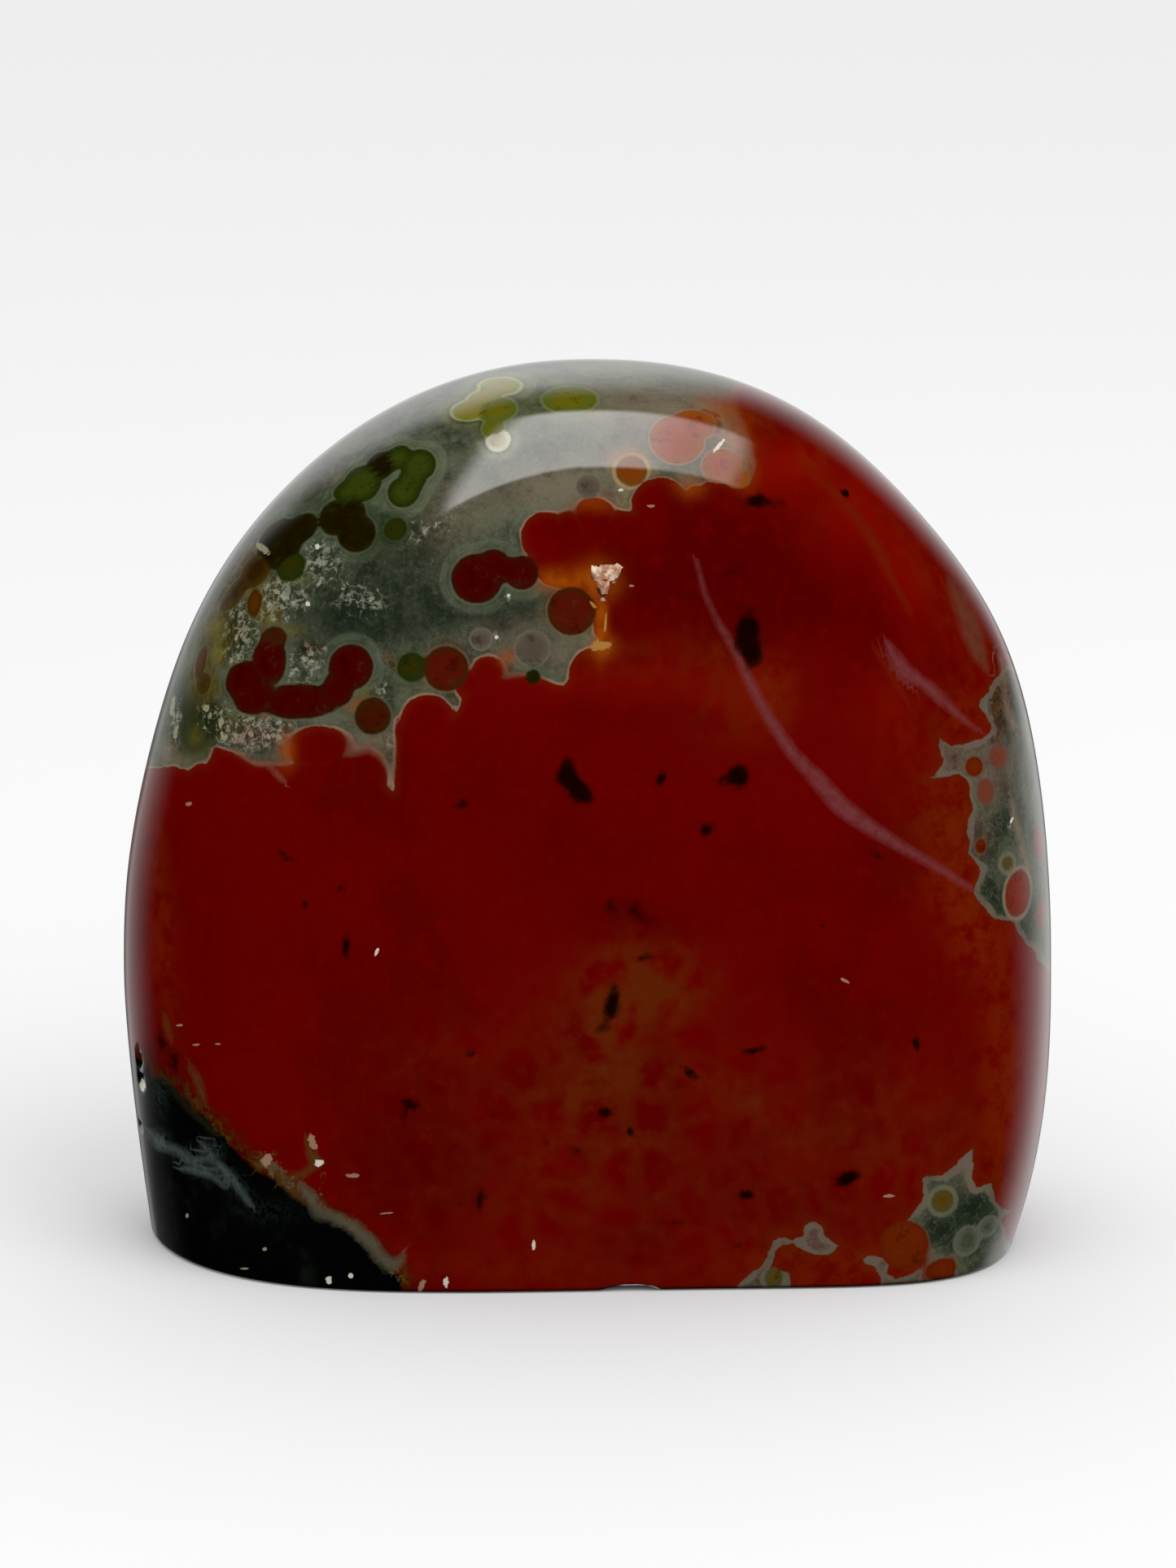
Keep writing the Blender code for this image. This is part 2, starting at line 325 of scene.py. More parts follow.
@dataclass
class SkinGrid:
    """The stone's surface as closed level rows, denser on the front, at the pocket and at the base."""

    form: StoneForm
    columns: int = 396
    rows: int = 214
    base_rings: int = 14
    edge_rings: int = 4
    back_share: float = 0.60
    pocket: Spot = (0.2, 60.1)
    hollows: tuple[Hollow, ...] = ()
    dense: int = 640
    pocket_spread: float = 1.8
    base_spread: float = 0.9

    def levels(self) -> np.ndarray:
        """Heights of the rows, spread by the length of the way up the skin and packed where detail is."""
        z = np.linspace(self.form.base_edge, self.form.height, 4000)
        _, front, _ = self.form.bulge(np.full_like(z, 1e-6), z)
        side = 0.5 * self.form.width * self.form.narrowed(z, self.form.dome[0])
        step = np.sqrt(np.diff(z) ** 2 + (0.7 * np.diff(side)) ** 2 + (0.6 * np.diff(front)) ** 2)
        middle = 0.5 * (z[1:] + z[:-1])
        at_pocket = np.exp(-(((middle - self.pocket[1]) / self.pocket_spread) ** 2))
        at_base = np.exp(-((middle / self.base_spread) ** 2))
        weight = 1.0 + 1.3 * at_pocket + 2.2 * at_base
        length = np.concatenate(([0.0], np.cumsum(step * weight)))
        levels = np.interp(np.linspace(0.0, length[-1], self.rows + 1), length, z)
        return levels[:-1]

    def loops(self) -> np.ndarray:
        """Every level row as a closed loop, rows by columns by 3.

        A row runs along the front from left to right at x = -cos(angle) times the half width, and
        back along the rear. It is then divided anew by its own length, which counts less behind.
        """
        z = self.levels()[:, None]
        across = -np.cos(np.linspace(0.0, np.pi, self.dense))[None, :]
        right = across > 0.0
        dome = np.where(right, self.form.dome[1], self.form.dome[0])
        x = across * self.form.half_width(z, right) * self.form.narrowed(z, dome)
        level = z + 0.0 * x
        middle, bulge, _ = self.form.bulge(x, level)
        bulge[:, 0] = bulge[:, -1] = 0.0
        stretch = self.form.stretch(x, level)
        height = np.where(level > self.form.hub, self.form.hub + (level - self.form.hub) * stretch, level)
        front = np.stack([x * stretch, middle - bulge, height], axis=-1)
        back = np.stack([x * stretch, middle + bulge, height], axis=-1)[:, ::-1]
        loop = np.concatenate([front, back[:, 1:]], axis=1)
        step = np.linalg.norm(np.diff(loop, axis=1), axis=2)
        centre_x = 0.5 * (loop[:, 1:, 0] + loop[:, :-1, 0])
        share = np.concatenate([np.ones(self.dense - 1), np.full(self.dense - 1, self.back_share)])
        at_pocket = np.exp(-(((centre_x - self.pocket[0]) / self.pocket_spread) ** 2))
        weight = share * (1.0 + 1.2 * at_pocket * (share == 1.0))
        length = np.concatenate([np.zeros((len(loop), 1)), np.cumsum(step * weight, axis=1)], axis=1)
        marks = np.linspace(0.0, 1.0, self.columns, endpoint=False)
        rows = [
            np.stack([np.interp(marks * along[-1], along, row[:, axis]) for axis in range(3)], axis=-1)
            for along, row in zip(length, loop)
        ]
        return np.stack(rows)

    def base_loops(self, lowest: np.ndarray) -> np.ndarray:
        """Rings over the flat base and round its edge, from near the middle outwards.

        The edge is a quarter circle of the base edge's radius, and the flat rings shrink evenly.

        Args:
            lowest: the skin's lowest row.

        Returns:
            The rings, rings by columns by 3.
        """
        ahead, behind = np.roll(lowest, -1, axis=0), np.roll(lowest, 1, axis=0)
        along = ahead - behind
        out = np.stack([along[:, 1], -along[:, 0], np.zeros(len(along))], axis=-1)
        out /= np.linalg.norm(out, axis=1, keepdims=True)
        radius = self.form.base_edge
        bends = np.radians(np.linspace(90.0, 0.0, self.edge_rings, endpoint=False))
        edge = [
            np.concatenate([lowest[:, :2], np.zeros((len(lowest), 1))], axis=1)
            - out * radius * (1.0 - math.cos(bend))
            + np.array((0.0, 0.0, radius * (1.0 - math.sin(bend))))
            for bend in bends
        ]
        shrinks = np.linspace(0.0, 1.0, self.base_rings + 2)[1:-1]
        flat = [edge[0] * np.array((share, share, 0.0)) for share in shrinks]
        return np.stack(flat + edge)

    def points_and_faces(self) -> tuple[np.ndarray, list[tuple[int, ...]]]:
        """All vertices, and the quads between neighbouring rows with a fan at each end."""
        loops = self.loops()
        loops = np.concatenate([self.base_loops(loops[0]), loops])
        count, columns = loops.shape[:2]
        crown = self.form.hub + (self.form.height - self.form.hub) * self.form.stretch(0.0, 1e3)
        points = np.concatenate([loops.reshape(-1, 3), [[0.0, 0.0, 0.0], [0.0, 0.0, crown]]])
        row, column = np.meshgrid(np.arange(count - 1), np.arange(columns), indexing="ij")
        following = (column + 1) % columns
        quads = np.stack(
            [row * columns + column, row * columns + following,
             (row + 1) * columns + following, (row + 1) * columns + column],
            axis=-1,
        ).reshape(-1, 4)
        around = np.arange(columns)
        after = (around + 1) % columns
        bottom_fan = np.stack([np.full(columns, count * columns), after, around], axis=-1)
        last = (count - 1) * columns
        top_fan = np.stack([last + around, last + after, np.full(columns, count * columns + 1)], axis=-1)
        for hollow in self.hollows:
            points = hollow.sunk(points)
        return points, quads.tolist() + bottom_fan.tolist() + top_fan.tolist()


def new_piece(name: str, points: np.ndarray, faces: list, smooth: bool) -> bpy.types.Object:
    """A mesh object at the origin with its place in its mesh.

    Args:
        name: the piece's name.
        points: vertices in millimetres.
        faces: vertex numbers of each face.
        smooth: whether it is shaded smooth.

    Returns:
        The object, linked to the scene.
    """
    mesh = bpy.data.meshes.new(name)
    mesh.from_pydata((points * MM).tolist(), [], faces)
    mesh.validate()
    if smooth:
        mesh.shade_smooth()
    piece = bpy.data.objects.new(name, mesh)
    bpy.context.scene.collection.objects.link(piece)
    return piece


@dataclass(frozen=True)
class OrbFinish:
    """How an orb is coloured: its core, the ring inside its edge, and the line around it."""

    core: Colour
    ring: Colour
    line: Colour
    ring_width: float
    line_width: float
    glow: float


class OrbKind(Enum):
    """The kinds of orb that the stone shows."""

    RED = OrbFinish(tint(92, 0, 0), tint(74, 6, 0), tint(128, 98, 82), 0.55, 0.20, 0.3)
    MAROON = OrbFinish(tint(62, 1, 0), tint(50, 14, 2), tint(84, 90, 72), 0.55, 0.16, 0.9)
    BROWN = OrbFinish(tint(62, 15, 2), tint(50, 26, 3), tint(80, 78, 58), 0.70, 0.16, 0.5)
    RUST = OrbFinish(tint(78, 16, 4), tint(58, 26, 4), tint(104, 82, 60), 0.60, 0.16, 0.4)
    AMBER = OrbFinish(tint(112, 50, 6), tint(100, 58, 12), tint(150, 128, 90), 0.60, 0.34, 0.5)
    OLIVE = OrbFinish(tint(74, 74, 6), tint(50, 62, 6), tint(130, 146, 92), 0.55, 0.20, 0.8)
    LIT_OLIVE = OrbFinish(tint(94, 88, 8), tint(78, 86, 24), tint(116, 120, 72), 0.70, 0.10, 0.4)
    MOSS_LIT = OrbFinish(tint(72, 80, 52), tint(80, 86, 62), tint(96, 100, 78), 0.60, 0.10, 0.2)
    GREEN = OrbFinish(tint(48, 58, 10), tint(28, 40, 3), tint(92, 102, 76), 0.70, 0.14, 1.0)
    MOSS = OrbFinish(tint(46, 40, 3), tint(30, 40, 6), tint(60, 72, 46), 0.80, 0.10, 0.5)
    UMBER = OrbFinish(tint(46, 26, 3), tint(62, 46, 8), tint(84, 78, 50), 0.60, 0.14, 0.4)
    BARK = OrbFinish(tint(24, 17, 0), tint(28, 26, 2), tint(74, 84, 62), 0.45, 0.18, 0.8)
    TAN = OrbFinish(tint(118, 104, 34), tint(104, 106, 34), tint(164, 164, 110), 0.45, 0.12, 0.3)
    CREAM = OrbFinish(tint(150, 144, 118), tint(170, 166, 142), tint(186, 182, 160), 0.40, 0.10, 0.3)
    ASH = OrbFinish(tint(76, 66, 54), tint(86, 78, 66), tint(108, 98, 86), 0.50, 0.12, 0.2)
    PINK = OrbFinish(tint(132, 46, 8), tint(124, 66, 22), tint(140, 108, 88), 0.90, 0.12, 0.2)
    ORANGE = OrbFinish(tint(96, 30, 2), tint(88, 26, 2), tint(96, 70, 52), 0.50, 0.10, 0.2)
    BRASS = OrbFinish(tint(78, 58, 12), tint(66, 62, 32), tint(96, 92, 72), 0.45, 0.42, 0.4)
    PALE_RING = OrbFinish(tint(58, 62, 46), tint(76, 80, 66), tint(96, 100, 84), 0.45, 0.20, 0.3)
    RIM_RED = OrbFinish(tint(108, 34, 18), tint(96, 36, 24), tint(124, 108, 92), 0.40, 0.24, 0.4)
    ROSY = OrbFinish(tint(112, 46, 28), tint(96, 52, 38), tint(92, 62, 52), 0.90, 0.06, 0.1)
    DROP = OrbFinish(tint(84, 46, 6), tint(60, 34, 4), tint(96, 92, 52), 0.60, 0.12, 0.4)


@dataclass(frozen=True)
class Orb:
    """A ball of colour in the stone, cut by its skin: the pixel of its middle, radius and stretch."""

    name: str
    u: float
    v: float
    radius: float
    kind: OrbKind = OrbKind.RED
    wide: float = 1.0
    tall: float = 1.0
    turn: float = 0.0


@dataclass(frozen=True)
class Cloud:
    """A soft patch of tone: the pixel of its middle, half sizes in mm, strength and turn in degrees."""

    u: float
    v: float
    wide: float
    tall: float
    strength: float = 1.0
    turn: float = 0.0


@dataclass(frozen=True)
class Fleck:
    """A small crisp fleck: the pixel of its middle, half sizes in mm and turn in degrees."""

    u: float
    v: float
    wide: float
    tall: float
    turn: float = 0.0


@dataclass(frozen=True)
class FleckSet:
    """Flecks of one colour, as rows of a Fleck's values."""

    name: str
    colour: Colour
    rows: tuple[tuple[float, ...], ...]


@dataclass(frozen=True)
class Vein:
    """A drawn line through the stone: pixels along it with the width in mm at each."""

    name: str
    route: tuple[tuple[float, float, float], ...]
    colour: Colour


@dataclass(frozen=True)
class Zone:
    """An area of another stone, as the pixels of its outline seen from the front."""

    name: str
    outline: tuple[Spot, ...]


RED_SCALLOPS = (
    Orb("lobe by the pink patch", 812, 622, 2.40),
    Orb("lobe right of it", 862, 622, 1.75),
    Orb("orange topped lobe", 730, 638, 1.80),
    Orb("small lobe between", 701, 648, 1.45),
    Orb("round lobe", 671, 660, 2.08),
    Orb("brown ringed lobe", 732, 829, 2.20),
    Orb("lobe in the row", 600, 829, 1.50),
    Orb("lobe filler", 578, 842, 1.25),
    Orb("large low lobe", 526, 888, 2.28),
    Orb("wide low lobe", 392, 920, 1.85, wide=1.55),
)

DARK_ORBS = (
    Orb("left blob", 300, 838, 1.75, OrbKind.MAROON),
    Orb("left blob foot", 312, 856, 1.55, OrbKind.MAROON, wide=1.3),
    Orb("left blob top", 331, 812, 1.50, OrbKind.MAROON, tall=1.45),
    Orb("left blob crown", 336, 785, 1.00, OrbKind.BROWN, wide=1.2),
    Orb("red bar", 366, 862, 1.45, OrbKind.MAROON, wide=2.6),
    Orb("right blob", 431, 820, 1.90, OrbKind.MAROON),
    Orb("right blob foot", 414, 848, 1.40, OrbKind.MAROON),
    Orb("brown ball", 458, 880, 1.52, OrbKind.BROWN),
    Orb("double orb left", 586, 711, 2.05, OrbKind.MAROON, wide=1.03),
    Orb("double orb top", 606, 698, 1.55, OrbKind.MAROON),
    Orb("double orb right", 641, 704, 1.40, OrbKind.MAROON),
    Orb("double orb neck", 622, 700, 1.10, OrbKind.MAROON, wide=1.3),
    Orb("brown red lobe", 548, 822, 1.85, OrbKind.RUST),
    Orb("lone orb", 702, 751, 1.96, OrbKind.RUST),
    Orb("amber orb", 776, 579, 1.28, OrbKind.AMBER),
    Orb("dark bead", 655, 832, 0.62, OrbKind.BARK),
)

GREEN_ORBS = (
    Orb("green tip", 514, 572, 1.50, OrbKind.GREEN),
    Orb("green top", 490, 562, 1.15, OrbKind.GREEN),
    Orb("green low", 496, 604, 1.40, OrbKind.GREEN),
    Orb("green bridge", 468, 572, 1.30, OrbKind.BARK),
    Orb("green left", 445, 594, 1.70, OrbKind.GREEN),
    Orb("bark left", 412, 636, 1.45, OrbKind.BARK, tall=1.1),
    Orb("bark right", 438, 655, 1.65, OrbKind.BARK),
    Orb("bark bridge", 428, 632, 1.30, OrbKind.BARK, wide=1.2),
    Orb("faint green", 486, 650, 1.00, OrbKind.MOSS),
    Orb("green shoulder", 428, 604, 1.00, OrbKind.GREEN, wide=1.4),
    Orb("green neck", 506, 590, 1.20, OrbKind.GREEN),
    Orb("olive speck", 383, 604, 0.75, OrbKind.MOSS, wide=1.7, turn=45.0),
    Orb("olive beside", 506, 820, 1.20, OrbKind.MOSS),
    Orb("lit olive right", 700, 491, 1.30, OrbKind.LIT_OLIVE, wide=1.75),
    Orb("lit olive left", 610, 503, 1.25, OrbKind.LIT_OLIVE, wide=1.35),
    Orb("tan bridge", 596, 489, 0.80, OrbKind.TAN, wide=1.8),
    Orb("lit olive tail", 577, 504, 1.00, OrbKind.TAN, wide=1.5),
    Orb("tan top", 614, 474, 0.95, OrbKind.TAN, wide=1.9, turn=-10.0),
    Orb("cream tail", 612, 541, 0.95, OrbKind.CREAM),
    Orb("cream tail root", 606, 526, 0.95, OrbKind.LIT_OLIVE),
    Orb("pale green top", 742, 458, 0.50, OrbKind.MOSS_LIT, wide=3.6),
)

BARK_ORBS = (
    Orb("brown cap", 343, 668, 1.90, OrbKind.BARK, wide=1.15, tall=1.2),
    Orb("brown cap shoulder", 366, 652, 1.30, OrbKind.BARK, wide=1.5, turn=30.0),
    Orb("brown cap lobe", 357, 696, 1.30, OrbKind.MOSS),
    Orb("brown wedge upper", 314, 701, 1.30, OrbKind.UMBER, tall=1.3, turn=-38.0),
    Orb("brown wedge lower", 289, 729, 0.80, OrbKind.UMBER, tall=2.4, turn=-42.0),
    Orb("brown drop", 313, 741, 0.72, OrbKind.DROP, tall=1.8),
    Orb("rust streak", 247, 815, 0.50, OrbKind.DROP, tall=3.0, turn=-10.0),
    Orb("rust streak foot", 250, 840, 0.70, OrbKind.UMBER, tall=1.4, turn=-12.0),
)

PALE_ORBS = (
    Orb("ash ring", 654, 797, 1.40, OrbKind.ASH),
    Orb("ash ring small", 591, 785, 0.85, OrbKind.ASH),
    Orb("ash ring faint", 723, 598, 1.00, OrbKind.ASH),
    Orb("pink orb", 832, 540, 2.15, OrbKind.PINK, wide=1.05),
    Orb("pink orb shoulder", 852, 522, 1.40, OrbKind.PINK, wide=1.3),
    Orb("pink patch", 886, 572, 1.45, OrbKind.PINK, wide=1.15, turn=30.0),
    Orb("pink patch tip", 906, 588, 0.85, OrbKind.PINK, wide=1.3),
)

RIM_ORBS = (
    Orb("rim orange", 1197, 942, 0.85, OrbKind.ORANGE),
    Orb("rim faint upper", 1227, 929, 0.95, OrbKind.ROSY),
    Orb("rim faint lower", 1211, 973, 0.80, OrbKind.ROSY, tall=1.3),
    Orb("rim bare upper", 1278, 1036, 0.80, OrbKind.ROSY, tall=1.9),
    Orb("rim bare lower", 1280, 1124, 0.70, OrbKind.ROSY, tall=1.7),
    Orb("rim pocket", 1205, 1040, 0.55, OrbKind.ORANGE, tall=1.2),
    Orb("rim olive", 1238, 1061, 0.58, OrbKind.BRASS),
    Orb("rim red ellipse", 1251, 1098, 1.30, OrbKind.RIM_RED, tall=1.55, turn=-8.0),
    Orb("star brass", 1158, 1476, 0.98, OrbKind.BRASS),
    Orb("star pale", 1188, 1525, 1.00, OrbKind.PALE_RING, wide=1.05, tall=1.15, turn=-20.0),
    Orb("star ring", 1214, 1507, 0.75, OrbKind.PALE_RING, wide=1.2, turn=25.0),
    Orb("orange disc", 1111, 1530, 2.10, OrbKind.ORANGE),
    Orb("orange foot", 1156, 1560, 0.90, OrbKind.ORANGE, wide=1.6, turn=12.0),
    Orb("base brass", 951, 1570, 0.75, OrbKind.BRASS, tall=1.2),
)

ZONES = (
    Zone("chalcedony", (
        (935, 330), (905, 470), (893, 500), (912, 535), (926, 572), (919, 596), (893, 594), (868, 592),
        (848, 605), (812, 622), (777, 628), (756, 627), (730, 640), (700, 650), (671, 662), (648, 682),
        (655, 704), (668, 717), (690, 724), (722, 732), (729, 750), (730, 778), (741, 790), (753, 799),
        (744, 803), (749, 809), (736, 806), (715, 812), (692, 844), (676, 838), (655, 828), (632, 828),
        (600, 832), (575, 842), (560, 877), (528, 888), (486, 884), (485, 925), (484, 974), (476, 966),
        (477, 946), (469, 928), (454, 918), (430, 922), (392, 930), (352, 940), (334, 938), (312, 938),
        (293, 926), (276, 921), (263, 918), (255, 939), (243, 938), (231, 947), (214, 942), (196, 944),
        (60, 940), (60, 330),
    )),
    Zone("right rim", (
        (1330, 800), (1234, 820), (1221, 838), (1202, 867), (1212, 881), (1219, 899), (1205, 908),
        (1190, 914), (1166, 917), (1152, 905), (1156, 924), (1160, 936), (1149, 950), (1138, 957),
        (1160, 955), (1179, 952), (1190, 959), (1191, 978), (1196, 992), (1191, 1008), (1188, 1024),
        (1195, 1036), (1190, 1048), (1197, 1058), (1207, 1068), (1200, 1082), (1196, 1096), (1209, 1116),
        (1222, 1130), (1246, 1132), (1251, 1144), (1258, 1156), (1269, 1166), (1277, 1182), (1330, 1230),
    )),
    Zone("star", (
        (1196, 1411), (1195, 1432), (1194, 1448), (1199, 1460), (1218, 1454), (1222, 1472), (1231, 1487),
        (1244, 1486), (1230, 1499), (1238, 1525), (1250, 1560), (1218, 1580), (1176, 1590), (1172, 1545),
        (1152, 1553), (1146, 1590), (1136, 1590), (1141, 1545), (1139, 1529), (1117, 1514), (1108, 1504),
        (1123, 1492), (1134, 1475), (1133, 1446), (1159, 1445), (1174, 1432), (1187, 1417),
    )),
    Zone("low patch", (
        (991, 1502), (1003, 1502), (1010, 1509), (1012, 1519), (1031, 1532), (1019, 1540), (999, 1544),
        (984, 1535), (974, 1530), (960, 1530), (953, 1536), (950, 1550), (944, 1562), (970, 1564),
        (972, 1600), (895, 1600), (905, 1580), (918, 1568), (934, 1558), (943, 1548), (947, 1531),
        (952, 1522), (962, 1522), (977, 1525), (987, 1519),
    )),
    Zone("base patch", (
        (1058, 1542), (1091, 1546), (1093, 1552), (1088, 1564), (1099, 1571), (1114, 1569), (1134, 1559),
        (1132, 1600), (1080, 1600), (1083, 1571), (1075, 1557), (1062, 1552),
    )),
)

BLACK_CORNER = Zone("black corner", (
    (60, 1288), (172, 1300), (184, 1322), (211, 1333), (231, 1355), (258, 1380), (284, 1408), (313, 1437),
    (354, 1463), (401, 1493), (432, 1515), (458, 1538), (493, 1574), (502, 1680), (60, 1680),
))

MAUVE = tint(107, 51, 52)
TEAL = tint(86, 98, 94)
ROSE = tint(120, 74, 58)
FAINT = tint(96, 50, 34)
EMBER_ARC = tint(100, 22, 4)
SAND = tint(118, 100, 82)
HUSK = tint(78, 74, 58)
HUSK_RED = tint(72, 52, 22)
HUSK_DARK = tint(40, 36, 24)
VEINS = (
    Vein("long vein", (
        (856, 690, 0.05), (866, 730, 0.12), (882, 765, 0.25), (905, 802, 0.50), (922, 840, 0.65),
        (946, 884, 0.70), (974, 926, 0.80), (1009, 963, 1.20), (1033, 991, 1.35), (1066, 1015, 1.05),
        (1105, 1039, 0.70), (1152, 1066, 0.50), (1192, 1091, 0.20),
    ), MAUVE),
    Vein("short vein", (
        (1090, 790, 0.20), (1099, 808, 0.95), (1112, 826, 1.10), (1136, 840, 0.70), (1158, 860, 0.75),
        (1176, 878, 0.30), (1200, 896, 0.10),
    ), MAUVE),
    Vein("faint streak", (
        (1166, 712, 0.2), (1180, 740, 1.2), (1194, 775, 1.6), (1203, 805, 1.1), (1212, 822, 0.3),
    ), FAINT),
    Vein("brown arc", (
        (988, 576, 0.1), (1020, 600, 0.5), (1056, 640, 0.8), (1082, 680, 0.9), (1096, 712, 0.5),
        (1118, 752, 0.2),
    ), EMBER_ARC),
    Vein("brown arc below", ((1074, 796, 0.15), (1092, 824, 0.5), (1112, 858, 0.3)), EMBER_ARC),
    Vein("seam ribbon", (
        (372, 1458, 0.3), (380, 1474, 0.9), (391, 1489, 1.1), (407, 1496, 0.9), (423, 1501, 0.8),
        (439, 1512, 1.0), (455, 1528, 1.1), (465, 1543, 0.9), (479, 1556, 0.9), (491, 1552, 0.6),
        (496, 1542, 0.2),
    ), HUSK),
    Vein("seam hook", (
        (378, 1404, 0.3), (383, 1418, 0.6), (389, 1429, 0.8), (379, 1438, 0.4), (364, 1446, 0.35),
        (350, 1452, 0.5), (338, 1438, 0.5), (326, 1426, 0.6), (318, 1434, 0.3),
    ), HUSK_RED),
    Vein("seam tooth", ((350, 1454, 0.4), (362, 1468, 0.5), (378, 1478, 0.4), (396, 1480, 0.3)), HUSK_RED),
    Vein("rose stroke", ((233, 1308, 0.1), (240, 1322, 0.4), (247, 1340, 0.5), (252, 1354, 0.15)), HUSK_RED),
    Vein("rose stroke above", ((202, 1250, 0.1), (206, 1264, 0.22), (209, 1274, 0.1)), HUSK_RED),
    Vein("seam thread", ((205, 1330, 0.2), (222, 1352, 0.3), (246, 1376, 0.35), (262, 1390, 0.3)), HUSK_DARK),
    Vein("rim crack", ((1229, 806, 0.1), (1234, 832, 0.25), (1236, 866, 0.3), (1246, 894, 0.5)), SAND),
    Vein("rim wave", ((1243, 985, 0.2), (1248, 1010, 0.3), (1256, 1042, 0.2), (1262, 1066, 0.3)), SAND),
    Vein("rose thread", ((293, 925, 0.2), (314, 937, 0.24), (329, 939, 0.22), (347, 959, 0.15)), ROSE),
    Vein("teal upper", (
        (186, 1394, 0.5), (197, 1407, 0.7), (216, 1413, 0.45), (236, 1427, 0.4), (259, 1423, 0.3),
        (276, 1440, 0.25),
    ), TEAL),
    Vein("teal lower", (
        (249, 1407, 0.2), (262, 1423, 0.35), (282, 1446, 0.35), (296, 1464, 0.25), (307, 1480, 0.15),
    ), TEAL),
    Vein("teal middle", ((226, 1436, 0.3), (242, 1438, 0.5), (258, 1444, 0.25), (277, 1458, 0.2)), TEAL),
)

